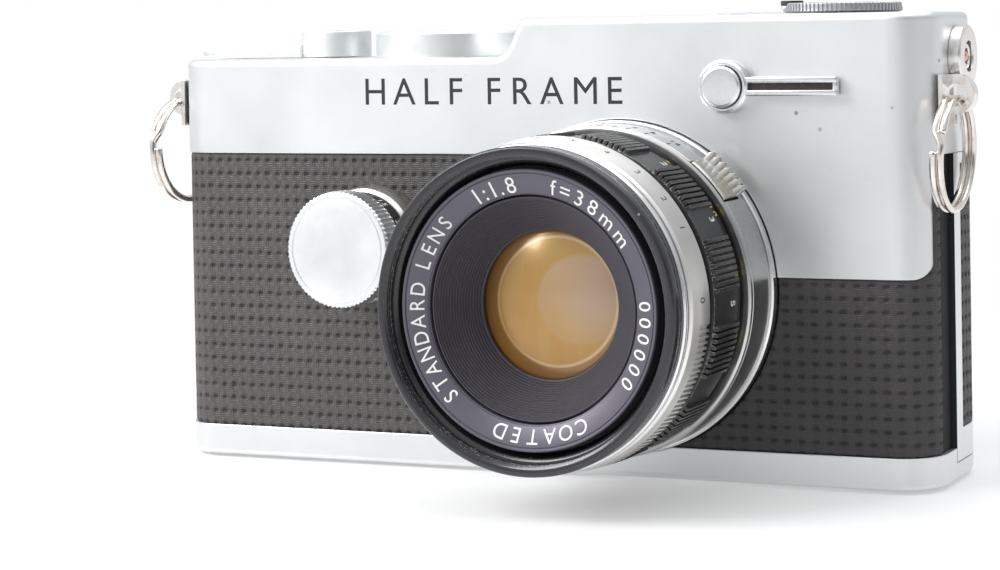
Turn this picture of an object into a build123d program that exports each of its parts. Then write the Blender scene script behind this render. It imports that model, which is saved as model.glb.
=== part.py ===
from build123d import *
import math
import os

os.makedirs("parts", exist_ok=True)

# Half frame single lens reflex camera with its standard lens fitted.
# Millimetres. +Z up, the lens looks along -Y, the base rests on Z = 0 and the
# tripod socket is on the Z axis. Left (-X) and right (+X) are as seen from the front.
# A "depth" is a distance behind the front plane of the body, so it is negative
# for anything standing in front of that plane.

# ---------------------------------------------------------------- body
BODY_WIDTH = 127.0
BODY_DEPTH = 29.2              # without lens and eyepiece
HALF_WIDTH = BODY_WIDTH / 2
FRONT = -BODY_DEPTH / 2        # y of the front plane
BACK = BODY_DEPTH / 2          # y of the back plane
FRONT_CORNER = 6.5             # plan corner radii
REAR_CORNER = 12.0
SKIN = 0.8                     # sheet thickness of the covers
BASE_TOP = 4.8                 # top edge of the base plate
COVER_BOTTOM = 48.1            # lower edge of the top cover
APRON_BOTTOM = 30.4            # apron of the top cover, beside the lens
APRON_RIGHT = 62.4
APRON_CORNER = 2.2
LOW_DECK = 62.9                # top of the body, winding side
HIGH_DECK = 68.7
DECK_EDGE = 1.1                # rounding along the deck edges
STEP_FOOT = -6.2               # x where the step between the decks starts
STEP_HEAD = -0.4               # x where it ends
CHAMBER_BOTTOM, CHAMBER_TOP = 5.2, 46.8    # film chambers

# ---------------------------------------------------------------- axes and places
LENS_X, LENS_Z = 15.0, 28.5
FLANGE = -1.6                  # depth of the lens flange
FILM_Y = FRONT + (FLANGE + 28.95)
GATE_WIDTH, GATE_HEIGHT = 18.0, 24.0
MOUNT_RADIUS = 24.8            # lens mount ring
MOUNT_SCREW_CIRCLE = 21.3
DIAL_X, DIAL_Z = -26.6, 34.2               # speed dial
TIMER_X, TIMER_Z = 32.46, 58.2             # self timer
RELEASE_X, RELEASE_Z = -13.7, 19.0         # lens release button
LEVER_X, LEVER_Y = -42.0, FRONT + 14.6     # winding lever shaft
BUTTON_X, BUTTON_Y = -20.6, FRONT + 15.0   # shutter button
REWIND_X, REWIND_Y = 45.3, FRONT + 14.8    # rewind knob and cassette chamber
SPOOL_X, SPOOL_Y = -49.0, FRONT + 15.6     # take up spool
SPROCKET_X, SPROCKET_Y = -31.5, FRONT + 20.9
SHUTTER_X = 2.0                            # rotary shutter shaft, level with the lens
MIRROR_X, MIRROR_Y = 25.4, FRONT + 21.4    # mirror hinge
LATCH_X, LATCH_Y = 52.0, 4.0               # back latch key
SOCKET_Y, SOCKET_Z = FRONT + 13.2, 62.1    # flash socket
SCREW_Y, SCREW_Z = 1.5, 52.2               # cover screws at the two ends
LUG_DEPTH, LUG_Z = 7.0, 56.7               # strap lug eye
LUG_Y = FRONT + LUG_DEPTH
RIVET_Z = 53.6                             # peg of the strap lug
EYE_X0, EYE_X1 = 20.7, 32.7                # eyepiece opening
EYE_Z0, EYE_Z1 = 57.7, 65.9

# ---------------------------------------------------------------- back cover
HINGE_X, HINGE_Y = -61.7, 4.5
BACK_EDGE = -3.9               # y of the front edge at the free (right) end
BACK_STRIP = 3.1               # plain metal edge at the free end
SKIRT_LEFT = 58.65             # skirt below the free end, let into the base plate
SKIRT_BOTTOM = 2.75

CUT = Mode.SUBTRACT
FAR = 90.0                     # beyond the camera on every side


def facing_front(x, y, z):
    """Sketch plane seen from the front: local x and y run along X and Z."""
    return Plane(origin=(x, y, z), x_dir=(1, 0, 0), z_dir=(0, -1, 0))


def facing_up(x, y, z):
    return Plane(origin=(x, y, z), x_dir=(1, 0, 0), z_dir=(0, 0, 1))


def polar(radius, degrees):
    angle = math.radians(degrees)
    return radius * math.cos(angle), radius * math.sin(angle)


def block(x0, x1, y0, y1, z0, z1, mode=Mode.ADD):
    with Locations(((x0 + x1) / 2, (y0 + y1) / 2, (z0 + z1) / 2)):
        Box(abs(x1 - x0), y1 - y0, z1 - z0, mode=mode)


def cut_away(x0=-FAR, x1=FAR, y0=-FAR, y1=FAR, z0=-FAR, z1=FAR):
    """Remove everything within the given limits."""
    block(x0, x1, y0, y1, z0, z1, mode=CUT)


def rod_x(y, z, radius, x0, x1, mode=Mode.ADD):
    with Locations(Location(((x0 + x1) / 2, y, z), (0, 90, 0))):
        Cylinder(radius, abs(x1 - x0), mode=mode)


def rod_y(x, z, radius, depth0, depth1, mode=Mode.ADD):
    with Locations(Location((x, FRONT + (depth0 + depth1) / 2, z), (90, 0, 0))):
        Cylinder(radius, depth1 - depth0, mode=mode)


def rod_z(x, y, radius, z0, z1, mode=Mode.ADD):
    with Locations((x, y, (z0 + z1) / 2)):
        Cylinder(radius, z1 - z0, mode=mode)


def revolve_outline(points, plane, direction):
    with BuildSketch(plane) as outline:
        with BuildLine():
            Polyline(*points, close=True)
        make_face()
    revolve(outline.sketch, axis=Axis(plane.origin, direction))


def turn_x(points, y, z):
    """Revolve (x, radius) points about an axis along X."""
    revolve_outline(points, facing_front(0, y, z), (1, 0, 0))


def turn_y(points, x=LENS_X, z=LENS_Z):
    """Revolve (radius, depth) points about an axis along Y, by default the lens axis."""
    revolve_outline(points, facing_up(x, FRONT, z), (0, 1, 0))


def turn_z(points, x, y, z=0.0):
    """Revolve (radius, height above z) points about a vertical axis."""
    revolve_outline(points, facing_front(x, y, z), (0, 0, 1))


def extrude_outline(points, plane, length, mode=Mode.ADD):
    with BuildSketch(plane) as outline:
        with BuildLine():
            Polyline(*points, close=True)
        make_face()
    extrude(outline.sketch, amount=length, mode=mode)


def slab(inset, z0, z1, mode=Mode.ADD):
    """Body plan outline, drawn in by inset, from z0 to z1."""
    with BuildSketch(facing_up(0, 0, z0)) as plan:
        half_x, half_y = BODY_WIDTH / 2 - inset, BODY_DEPTH / 2 - inset
        front, rear = FRONT_CORNER - inset, REAR_CORNER - inset
        with BuildLine():
            Line((front - half_x, -half_y), (half_x - front, -half_y))
            CenterArc((half_x - front, front - half_y), front, 270, 90)
            Line((half_x, front - half_y), (half_x, half_y - rear))
            CenterArc((half_x - rear, half_y - rear), rear, 0, 90)
            Line((half_x - rear, half_y), (rear - half_x, half_y))
            CenterArc((rear - half_x, half_y - rear), rear, 90, 90)
            Line((-half_x, half_y - rear), (-half_x, front - half_y))
            CenterArc((front - half_x, front - half_y), front, 180, 90)
        make_face()
    extrude(plan.sketch, amount=z1 - z0, mode=mode)


def shell(outer, inner, z0, z1):
    """Open wall between two insets of the body outline."""
    slab(outer, z0, z1)
    slab(inner, z0 - 1, z1 + 1, mode=CUT)


def rear_shell(outer, inner, z0, z1, left_edge, right_edge):
    """Shell wrapping the back, reaching forwards to a given y at each end."""
    shell(outer, inner, z0, z1)
    cut_away(x1=0, y1=left_edge)
    cut_away(x0=-1, y1=right_edge)


def sector(inner, outer, middle, half, depth, length, mode=Mode.ADD, flat_inside=False):
    """Sector about the lens axis over middle +- half degrees, forwards from a depth."""
    start, end = middle - half, middle + half
    with BuildSketch(facing_front(LENS_X, FRONT + depth, LENS_Z)) as outline:
        with BuildLine():
            Line(polar(inner, start), polar(outer, start))
            ThreePointArc(polar(outer, start), polar(outer, middle), polar(outer, end))
            Line(polar(outer, end), polar(inner, end))
            if flat_inside:
                Line(polar(inner, end), polar(inner, start))
            elif inner:
                ThreePointArc(polar(inner, end), polar(inner, middle), polar(inner, start))
        make_face()
    extrude(outline.sketch, amount=length, mode=mode)


def mill(depth, length, size, x=LENS_X, z=LENS_Z, **pattern):
    """Cut a polar pattern of grooves about an axis along Y, forwards from a depth."""
    with BuildSketch(facing_front(x, FRONT + depth, z)) as grooves:
        with PolarLocations(**pattern):
            Rectangle(*size)
    extrude(grooves.sketch, amount=length, mode=CUT)


def base_screw_spots(z):
    return [(x, y, z) for x in (-55, 31.0) for y in (-8.5, 8.5)]


def base_screw_rods(radius, z0, z1, mode=Mode.ADD):
    with Locations(*base_screw_spots((z0 + z1) / 2)):
        Cylinder(radius, z1 - z0, mode=mode)


def mount_screw_rods(radius, depth0, depth1, mode=Mode.ADD):
    y = FRONT + (depth0 + depth1) / 2
    offsets = [polar(MOUNT_SCREW_CIRCLE, angle) for angle in (50, 130, 230, 310)]
    with Locations(*[Location((LENS_X + x, y, LENS_Z + z), (90, 0, 0)) for x, z in offsets]):
        Cylinder(radius, depth1 - depth0, mode=mode)


def eyepiece_block(grow, y0, y1, mode=Mode.ADD):
    """Block the size of the eyepiece opening, grown on its four sides."""
    block(EYE_X0 - grow, EYE_X1 + grow, y0, y1, EYE_Z0 - grow, EYE_Z1 + grow, mode=mode)


def export(piece, name):
    piece.part.label = name
    export_step(piece.part, "parts/" + name + ".step")


# ================================================================ body casting
# room taken by the wrap of the back cover around the two ends
with BuildPart() as door_space:
    rear_shell(-1.0, 1.5, BASE_TOP, 60, HINGE_Y - 2.5, BACK_EDGE - 0.25)


def film_chamber(x, y, radius):
    """Round chamber, open at the rear."""
    rod_z(x, y, radius, CHAMBER_BOTTOM, CHAMBER_TOP, mode=CUT)
    block(x - radius, x + radius, y, BACK, CHAMBER_BOTTOM, CHAMBER_TOP, mode=CUT)


with BuildPart() as body_casting:
    slab(0.85, 1.05, COVER_BOTTOM - 0.05)
    # rear of the casting stops at the film plane
    cut_away(y0=FILM_Y)
    # seat of the lens mount
    rod_y(LENS_X, LENS_Z, 24.6, 0.85, 3.2)
    # the ends are stepped in under the back cover
    add(door_space.part, mode=CUT)
    film_chamber(REWIND_X, REWIND_Y, 12.6)
    film_chamber(SPOOL_X, SPOOL_Y, 11.2)
    block(-66, SPOOL_X - 11.1, HINGE_Y, BACK, CHAMBER_BOTTOM, CHAMBER_TOP, mode=CUT)
    film_chamber(SPROCKET_X, SPROCKET_Y, 7.2)
    # throat, mirror box, shutter chamber and film gate
    rod_y(LENS_X, LENS_Z, 19.3, 0.5, 3.2, mode=CUT)
    block(4.4, 26.8, FRONT + 3.0, FRONT + 22.9, LENS_Z - 13.4, LENS_Z + 13.4, mode=CUT)
    rod_y(SHUTTER_X, LENS_Z, 26.0, 22.9, 25.1, mode=CUT)
    block(LENS_X - GATE_WIDTH / 2, LENS_X + GATE_WIDTH / 2, FRONT + 25.0, FRONT + 28,
          LENS_Z - GATE_HEIGHT / 2, LENS_Z + GATE_HEIGHT / 2, mode=CUT)
    # finder light path: screen slot and prism well
    block(26.7, 28.35, FRONT + 4.0, FRONT + 21.0, 16.0, 41.0, mode=CUT)
    block(28.3, 32.1, FRONT + 4.5, FRONT + 20.5, 16.8, 60.0, mode=CUT)
    # shafts
    rod_y(SHUTTER_X, LENS_Z, 1.55, 14.0, 24.0, mode=CUT)
    rod_y(DIAL_X, DIAL_Z, 1.85, 0.0, 8.0, mode=CUT)
    rod_z(SPOOL_X, SPOOL_Y, 1.55, 2.6, 50, mode=CUT)
    rod_z(SPROCKET_X, SPROCKET_Y, 1.25, 2.6, 50, mode=CUT)
    rod_z(REWIND_X, REWIND_Y, 3.1, 40, 50, mode=CUT)
    rod_z(MIRROR_X, MIRROR_Y, 0.8, LENS_Z - 15.2, LENS_Z + 15.2, mode=CUT)
    rod_z(LEVER_X, LEVER_Y, 1.9, 47.2, 50, mode=CUT)
    rod_z(BUTTON_X, BUTTON_Y, 1.35, 42.6, 50, mode=CUT)
    # tripod bush, latch key, lens release and screw holes
    rod_z(0, 0, 4.45, 0, 7.4, mode=CUT)
    rod_z(LATCH_X, LATCH_Y, 6.7, 0, 2.5, mode=CUT)
    rod_z(LATCH_X, LATCH_Y, 1.55, 2.4, 4.4, mode=CUT)
    rod_y(RELEASE_X, RELEASE_Z, 2.25, 0.0, 4.2, mode=CUT)
    mount_screw_rods(0.82, 0.5, 3.5, mode=CUT)
    base_screw_rods(0.92, 0.6, 3.8, mode=CUT)
    # back cover hinge: relief, then two lugs with the pin hole
    rod_z(HINGE_X, HINGE_Y, 2.5, BASE_TOP, 60, mode=CUT)
    for z0, z1 in ((BASE_TOP + 0.1, 7.0), (45.8, COVER_BOTTOM - 0.05)):
        rod_z(HINGE_X, HINGE_Y, 1.5, z0, z1)
        block(HINGE_X, HINGE_X + 3.4, HINGE_Y - 1.2, HINGE_Y + 1.2, z0, z1)
    rod_z(HINGE_X, HINGE_Y, 0.8, 3.0, 60, mode=CUT)
export(body_casting, "body_casting")

# ================================================================ base plate
with BuildPart() as bottom_plate:
    slab(0.0, 0.0, BASE_TOP)
    fillet(bottom_plate.faces().sort_by(Axis.Z)[0].edges(), 0.9)
    slab(SKIN, 1.0, BASE_TOP + 1, mode=CUT)
    rod_z(0, 0, 6.05, -1, 2, mode=CUT)
    rod_z(LATCH_X, LATCH_Y, 6.6, -1, 2, mode=CUT)
    rod_y(LENS_X, LENS_Z, MOUNT_RADIUS + 0.15, -1, 3.0, mode=CUT)
    # opening for the skirt of the back cover
    cut_away(x0=SKIRT_LEFT - 0.15, y0=BACK_EDGE - 0.12, z0=SKIRT_BOTTOM - 0.15)
    # screw holes and head recesses
    base_screw_rods(0.95, -1.0, 2.0, mode=CUT)
    base_screw_rods(1.95, -0.7, 0.5, mode=CUT)
export(bottom_plate, "bottom_plate")

with BuildPart() as base_screws:
    base_screw_rods(1.9, 0.18, 0.48)
    base_screw_rods(0.88, 0.18, 3.38)
    # driver slots
    with Locations(*base_screw_spots(0.28)):
        Box(3.2, 0.5, 0.2, mode=CUT)
export(base_screws, "base_screws")

THREAD = 3.175                 # tripod thread radius
with BuildPart() as tripod_bush:
    turn_z([(THREAD, 0.0), (6.0, 0.0), (6.0, 1.0), (4.4, 1.0), (4.4, 7.3), (0.0, 7.3),
            (0.0, 6.6), (THREAD, 6.6)], 0, 0)
export(tripod_bush, "tripod_bush")

# disc and shaft with a raised grip bar below
with BuildPart() as back_latch_key:
    rod_z(LATCH_X, LATCH_Y, 6.5, 0.75, 1.5)
    rod_z(LATCH_X, LATCH_Y, 1.5, 1.4, 4.2)
    block(LATCH_X - 5.6, LATCH_X + 5.6, LATCH_Y - 1.1, LATCH_Y + 1.1, 0.12, 0.8)
export(back_latch_key, "back_latch_key")


# ================================================================ top cover
def cut_above_low_deck(shift, drop):
    """Clear the space over the low deck and the step, moved right and down."""
    foot = (STEP_FOOT + shift, LOW_DECK - drop)
    head = (STEP_HEAD + shift, HIGH_DECK - drop)
    with BuildSketch(facing_front(0, 30, 0)) as outline:
        with BuildLine():
            Line((-80, foot[1]), foot)
            Spline(foot, head, tangents=((1, 0), (1, 0)), tangent_scalars=(1.5, 1.0))
            Line(head, (head[0], 80))
            Line((head[0], 80), (-80, 80))
            Line((-80, 80), (-80, foot[1]))
        make_face()
    extrude(outline.sketch, amount=60, mode=CUT)


def on_deck_rim(edge):
    """Edges around the decks, leaving out the straight ones across the step ends."""
    box = edge.bounding_box()
    across = abs(edge.center().Y) < 1 and box.size.X < 0.2
    return box.min.Z > LOW_DECK - 0.3 and not across


with BuildPart() as cover_inside:
    slab(SKIN, APRON_BOTTOM - 5, HIGH_DECK - SKIN)
    cut_above_low_deck(0.7, SKIN)

with BuildPart() as top_cover:
    slab(0.0, COVER_BOTTOM, HIGH_DECK)
    cut_above_low_deck(0.0, 0.0)
    fillet(top_cover.edges().filter_by(on_deck_rim), DECK_EDGE)
    # apron beside the lens, with a rounded lower corner
    slab(0.0, APRON_BOTTOM, COVER_BOTTOM + 0.2)
    cut_away(x1=LENS_X, z1=COVER_BOTTOM)
    cut_away(x0=APRON_RIGHT, z1=COVER_BOTTOM)
    cut_away(x0=0, y0=FRONT + 6.0, z1=COVER_BOTTOM)
    with BuildSketch(facing_front(0, 0, 0)) as corner:
        with Locations((APRON_RIGHT, APRON_BOTTOM)):
            Rectangle(APRON_CORNER, APRON_CORNER, align=(Align.MAX, Align.MIN))
        with Locations((APRON_RIGHT - APRON_CORNER, APRON_BOTTOM + APRON_CORNER)):
            Circle(APRON_CORNER, mode=CUT)
    extrude(corner.sketch, amount=30, mode=CUT)
    add(cover_inside.part, mode=CUT)
    # openings
    rod_y(LENS_X, LENS_Z, MOUNT_RADIUS + 0.15, -1, 3.4, mode=CUT)
    rod_y(TIMER_X, TIMER_Z, 1.3, -1, 2, mode=CUT)
    rod_x(SOCKET_Y, SOCKET_Z, 3.0, 60, 66, mode=CUT)
    rod_z(LEVER_X, LEVER_Y, 3.05, 60, 66, mode=CUT)
    rod_z(BUTTON_X, BUTTON_Y, 4.9, 60, 66, mode=CUT)
    rod_z(REWIND_X, REWIND_Y, 4.05, 60, 72, mode=CUT)
    eyepiece_block(0.1, 12, 16, mode=CUT)
    rod_x(LUG_Y, RIVET_Z, 0.85, -FAR, FAR, mode=CUT)
    rod_x(SCREW_Y, SCREW_Z, 0.85, -FAR, FAR, mode=CUT)
export(top_cover, "top_cover")

with BuildPart() as cover_screws:
    for side in (-1, 1):
        # (x on the right side, radius)
        outline = [(61.2, 0), (63.9, 0), (63.75, 1.2), (63.5, 1.6), (63.5, 0.8), (61.2, 0.8)]
        turn_x([(side * x, radius) for x, radius in outline], SCREW_Y, SCREW_Z)
        # driver slot
        block(side * 63.65, side * 64, SCREW_Y - 2.2, SCREW_Y + 2.2,
              SCREW_Z - 0.25, SCREW_Z + 0.25, mode=CUT)
export(cover_screws, "cover_screws")


# ================================================================ front coverings
def front_covering():
    shell(0.25, 0.83, BASE_TOP + 0.05, COVER_BOTTOM - 0.1)


def cut_lens_clearance():
    rod_y(LENS_X, LENS_Z, MOUNT_RADIUS + 0.2, -1, 3.0, mode=CUT)


with BuildPart() as front_leather_left:
    front_covering()
    cut_away(x0=LENS_X - 8)
    cut_away(y0=HINGE_Y - 2.9)
    cut_lens_clearance()
    rod_y(DIAL_X, DIAL_Z, 7.2, -1, 3.0, mode=CUT)
    rod_y(RELEASE_X, RELEASE_Z, 2.3, -1, 3.0, mode=CUT)
export(front_leather_left, "front_leather_left")

RIGHT_LEATHER_REAR = -9.4      # y of the rear edge
with BuildPart() as front_leather_right:
    front_covering()
    cut_away(x1=LENS_X + 8)
    cut_away(y0=RIGHT_LEATHER_REAR)
    # room for the apron of the top cover
    cut_away(x0=0, x1=APRON_RIGHT + 0.06, z0=APRON_BOTTOM - 0.06)
    cut_lens_clearance()
export(front_leather_right, "front_leather_right")

# ================================================================ back cover
# skirt at the free end, let into the base plate
with BuildPart() as skirt:
    shell(0.0, SKIN, SKIRT_BOTTOM, BASE_TOP + 0.4)
    cut_away(x1=SKIRT_LEFT)
    cut_away(y1=BACK_EDGE)

# shallow bed pressed into the back cover for its covering
with BuildPart() as back_bed:
    rear_shell(-1.0, 0.55, 7.4, 46.4, HINGE_Y + 2.4, BACK_EDGE + BACK_STRIP)

with BuildPart() as back_cover:
    rear_shell(0.0, 1.4, BASE_TOP + 0.1, COVER_BOTTOM - 0.1, HINGE_Y + 0.5, BACK_EDGE)
    add(skirt.part)
    add(back_bed.part, mode=CUT)
    # pocket behind the pressure plate
    block(LENS_X - 10, LENS_X + 10, BACK - 1.5, BACK - 1.0, LENS_Z - 4, LENS_Z + 4, mode=CUT)
    # hinge barrel, with room for the lugs of the casting above and below it
    rod_z(HINGE_X, HINGE_Y, 1.75, 4.0, 7.1, mode=CUT)
    rod_z(HINGE_X, HINGE_Y, 1.75, 45.7, 50.0, mode=CUT)
    rod_z(HINGE_X, HINGE_Y, 1.55, 7.1, 45.7)
    rod_z(HINGE_X, HINGE_Y, 0.83, 5, 50, mode=CUT)
export(back_cover, "back_cover")

with BuildPart() as back_leather:
    rear_shell(0.03, 0.53, 7.46, 46.34, HINGE_Y + 2.46, BACK_EDGE + BACK_STRIP + 0.06)
export(back_leather, "back_leather")

with BuildPart() as back_hinge_pin:
    rod_z(HINGE_X, HINGE_Y, 0.78, 4.9, 48.0)
export(back_hinge_pin, "back_hinge_pin")

with BuildPart() as pressure_plate:
    block(LENS_X - 12, LENS_X + 12, FILM_Y + 0.05, FILM_Y + 0.4, LENS_Z - 15, LENS_Z + 15)
    fillet(pressure_plate.edges().filter_by(Axis.Y), 1.5)
export(pressure_plate, "pressure_plate")

with BuildPart() as pressure_spring:
    block(LENS_X - 9, LENS_X + 9, FILM_Y + 0.42, FILM_Y + 0.78, LENS_Z - 1.6, LENS_Z + 1.6)
export(pressure_spring, "pressure_spring")

# ================================================================ lens mount
THROAT_RADIUS = 17.7
with BuildPart() as mount_ring:
    turn_y([(THROAT_RADIUS, 0.85), (MOUNT_RADIUS, 0.85), (MOUNT_RADIUS, -1.35),
            (MOUNT_RADIUS - 0.25, FLANGE), (THROAT_RADIUS, FLANGE)])
    # entry notches for the bayonet claws
    for angle in (60, 180, 300):
        sector(0, 19, angle, 20, 2, 6, mode=CUT)
    # screw holes and head recesses
    mount_screw_rods(0.85, -3.0, 3.0, mode=CUT)
    mount_screw_rods(1.6, FLANGE - 1.0, FLANGE + 1.0, mode=CUT)
export(mount_ring, "mount_ring")

with BuildPart() as mount_screws:
    mount_screw_rods(1.52, -1.55, -0.65)
    mount_screw_rods(0.8, -0.9, 2.7)
export(mount_screws, "mount_screws")

with BuildPart() as lens_release_button:
    turn_y([(0, -2.4), (1.7, -2.4), (2.15, -1.9), (2.15, 2.4), (0, 2.4)], RELEASE_X, RELEASE_Z)
export(lens_release_button, "lens_release_button")

# ================================================================ mirror
# the mirror stands at 45 degrees and swings sideways about its rear edge;
# local x runs forwards along the mirror from the hinge, local y is its thickness
MIRROR = Plane(origin=(MIRROR_X, MIRROR_Y, LENS_Z), x_dir=(-1, -1, 0), z_dir=(0, 0, 1))
FRAME_HALF, GLASS_HALF = 12.6, 12.2    # half heights
with BuildPart() as mirror_frame:
    with BuildSketch(MIRROR.offset(-FRAME_HALF)):
        with Locations((9.4, 0.35)):
            Rectangle(16.6, 0.7)
    extrude(amount=2 * FRAME_HALF)
    rod_z(MIRROR_X, MIRROR_Y, 1.15, LENS_Z - FRAME_HALF, LENS_Z + FRAME_HALF)
    rod_z(MIRROR_X, MIRROR_Y, 0.75, LENS_Z - 14.6, LENS_Z + 14.6)
export(mirror_frame, "mirror_frame")

with BuildPart() as mirror_glass:
    with BuildSketch(MIRROR.offset(-GLASS_HALF)):
        with Locations((9.6, 1.06)):
            Rectangle(15.8, 0.7)
    extrude(amount=2 * GLASS_HALF)
export(mirror_glass, "mirror_glass")

# ================================================================ rotary shutter
# disc, hub and shaft, with one sector missing on the left
OPENING_HALF_ANGLE = 62
OPENING_REACH = 26             # beyond the rim of the disc
with BuildPart() as shutter_disc:
    rod_y(SHUTTER_X, LENS_Z, 25.0, 23.3, 23.7)
    rod_y(SHUTTER_X, LENS_Z, 3.6, 22.95, 24.1)
    rod_y(SHUTTER_X, LENS_Z, 1.5, 14.5, 24.1)
    upper, middle, lower = [polar(OPENING_REACH, 180 + turn * OPENING_HALF_ANGLE)
                            for turn in (-1, 0, 1)]
    with BuildSketch(facing_front(SHUTTER_X, FRONT + 24, LENS_Z)) as opening:
        with BuildLine():
            Line((-5.0, 2.0), upper)
            ThreePointArc(upper, middle, lower)
            Line(lower, (-5.0, -2.0))
            Line((-5.0, -2.0), (-5.0, 2.0))
        make_face()
    extrude(opening.sketch, amount=3, mode=CUT)
export(shutter_disc, "shutter_disc")

# ================================================================ finder
with BuildPart() as focusing_screen:
    block(27.1, 28.2, FRONT + 4.2, FRONT + 20.8, 16.3, 40.7)
export(focusing_screen, "focusing_screen")

# upright prism with a bevelled foot, and the top block leading back to the eyepiece
with BuildPart() as finder_prism:
    extrude_outline([(28.5, 20.5), (32.0, 17.0), (32.0, 61.4), (28.5, 61.4)],
                    facing_front(0, FRONT + 20.0, 0), 15.0)
    extrude_outline([(19.8, 52.0), (32.0, 52.0), (32.0, 61.4), (19.8, 61.4)],
                    facing_front(0, FRONT + 26.5, 0), 17.5)
export(finder_prism, "finder_prism")

with BuildPart() as eyepiece_frame:
    block(18.0, 35.4, BACK + 0.03, BACK + 1.7, 55.6, 69.3)
    fillet(eyepiece_frame.edges().filter_by(Axis.Y), 1.6)
    eyepiece_block(0, BACK - 2, BACK + 3, mode=CUT)
    chamfer(eyepiece_frame.faces().sort_by(Axis.Y)[-1].edges(), 0.4)
export(eyepiece_frame, "eyepiece_frame")

with BuildPart() as eyepiece_lens:
    eyepiece_block(-0.05, BACK - 1.4, BACK + 0.9)
    fillet(eyepiece_lens.faces().sort_by(Axis.Y)[-1].edges(), 0.5)
export(eyepiece_lens, "eyepiece_lens")

# ================================================================ film transport
# (radius, z)
SPOOL_OUTLINE = [
    (0, 3.0), (1.5, 3.0), (1.5, 5.6), (9.3, 5.6), (9.3, 6.6), (6.6, 6.6),
    (6.6, 45.2), (9.0, 45.2), (9.0, 46.0), (1.5, 46.0), (1.5, 49.5), (0, 49.5),
]
with BuildPart() as take_up_spool:
    turn_z(SPOOL_OUTLINE, SPOOL_X, SPOOL_Y)
    # slot through the core
    block(SPOOL_X - 7.5, SPOOL_X + 7.5, SPOOL_Y - 0.6, SPOOL_Y + 0.6, 12, 39, mode=CUT)
export(take_up_spool, "take_up_spool")

# (radius, z)
DRUM_OUTLINE = [
    (0, 3.0), (1.2, 3.0), (1.2, 5.6), (5.6, 5.6), (5.6, 12.0), (6.0, 12.0),
    (6.0, 16.4), (4.6, 17.2), (4.6, 39.8), (6.0, 40.6), (6.0, 45.0), (5.6, 45.0),
    (5.6, 46.2), (1.2, 46.2), (1.2, 49.5), (0, 49.5),
]
with BuildPart() as sprocket_drum:
    turn_z(DRUM_OUTLINE, SPROCKET_X, SPROCKET_Y)
    # two rows of teeth
    for z in (14.4, 42.6):
        with BuildSketch(facing_up(SPROCKET_X, SPROCKET_Y, z - 0.9)) as teeth:
            with PolarLocations(6.15, 8):
                Rectangle(0.8, 1.5)
        extrude(teeth.sketch, amount=1.8)
export(sprocket_drum, "sprocket_drum")

# ================================================================ winding lever
# arm in plan, (x, y) from the shaft
ARM_PLAN = [
    (-3, -4.6), (-12, -4.5), (-21.2, -4.8), (-23.4, -2.8),
    (-23.6, 0.6), (-21.6, 2.6), (-12, 4.1), (-3, 4.7),
]
# space above the arm, (x from the shaft, height above the low deck)
ARM_TAPER = [(-30, 1.35), (-22.5, 1.35), (-6, 2.3), (-6, 6), (-30, 6)]
with BuildPart() as advance_lever:
    # shaft and cup for the frame counter
    turn_z([(0, 47.4), (1.85, 47.4), (1.85, 50.0), (3.0, 50.0), (3.0, LOW_DECK + 0.12),
            (5.6, LOW_DECK + 0.12), (5.6, LOW_DECK + 4.1), (5.45, LOW_DECK + 4.3),
            (5.2, LOW_DECK + 4.3), (5.2, LOW_DECK + 3.5), (0, LOW_DECK + 3.5)],
           LEVER_X, LEVER_Y)
    # arm, tapering in plan and in height towards its tip
    extrude_outline(ARM_PLAN, facing_up(LEVER_X, LEVER_Y, LOW_DECK + 0.5), 1.8)
    extrude_outline(ARM_TAPER, facing_front(LEVER_X, 20, LOW_DECK), 40, mode=CUT)
    rod_z(LEVER_X, LEVER_Y, 5.1, LOW_DECK + 3.3, LOW_DECK + 5, mode=CUT)
export(advance_lever, "advance_lever")

with BuildPart() as frame_counter_dial:
    rod_z(LEVER_X, LEVER_Y, 4.95, LOW_DECK + 3.35, LOW_DECK + 3.65)
export(frame_counter_dial, "frame_counter_dial")

with BuildPart() as frame_counter_window:
    turn_z([(0, 3.72), (5.12, 3.72), (5.12, 4.1), (3.2, 4.3), (0, 4.38)],
           LEVER_X, LEVER_Y, LOW_DECK)
export(frame_counter_window, "frame_counter_window")

# ================================================================ shutter button
with BuildPart() as shutter_button_collar:
    turn_z([(4.55, 60.6), (4.85, 60.6), (4.85, LOW_DECK + 0.02), (12.3, LOW_DECK + 0.02),
            (12.3, LOW_DECK + 3.6), (11.9, LOW_DECK + 4.0), (5.1, LOW_DECK + 4.1),
            (4.55, LOW_DECK + 3.7)], BUTTON_X, BUTTON_Y)
export(shutter_button_collar, "shutter_button_collar")

with BuildPart() as shutter_button:
    turn_z([(0, 44.8), (1.3, 44.8), (1.3, LOW_DECK - 0.5), (4.5, LOW_DECK - 0.5),
            (4.5, LOW_DECK + 3.2), (4.1, LOW_DECK + 3.5), (1.6, LOW_DECK + 3.15),
            (1.2, LOW_DECK + 1.6), (0, LOW_DECK + 1.3)], BUTTON_X, BUTTON_Y)
export(shutter_button, "shutter_button")

# ================================================================ rewind
with BuildPart() as rewind_sleeve:
    turn_z([(2.1, 50.0), (4.0, 50.0), (4.0, HIGH_DECK - 0.2), (2.1, HIGH_DECK - 0.2)],
           REWIND_X, REWIND_Y)
export(rewind_sleeve, "rewind_sleeve")

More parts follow.
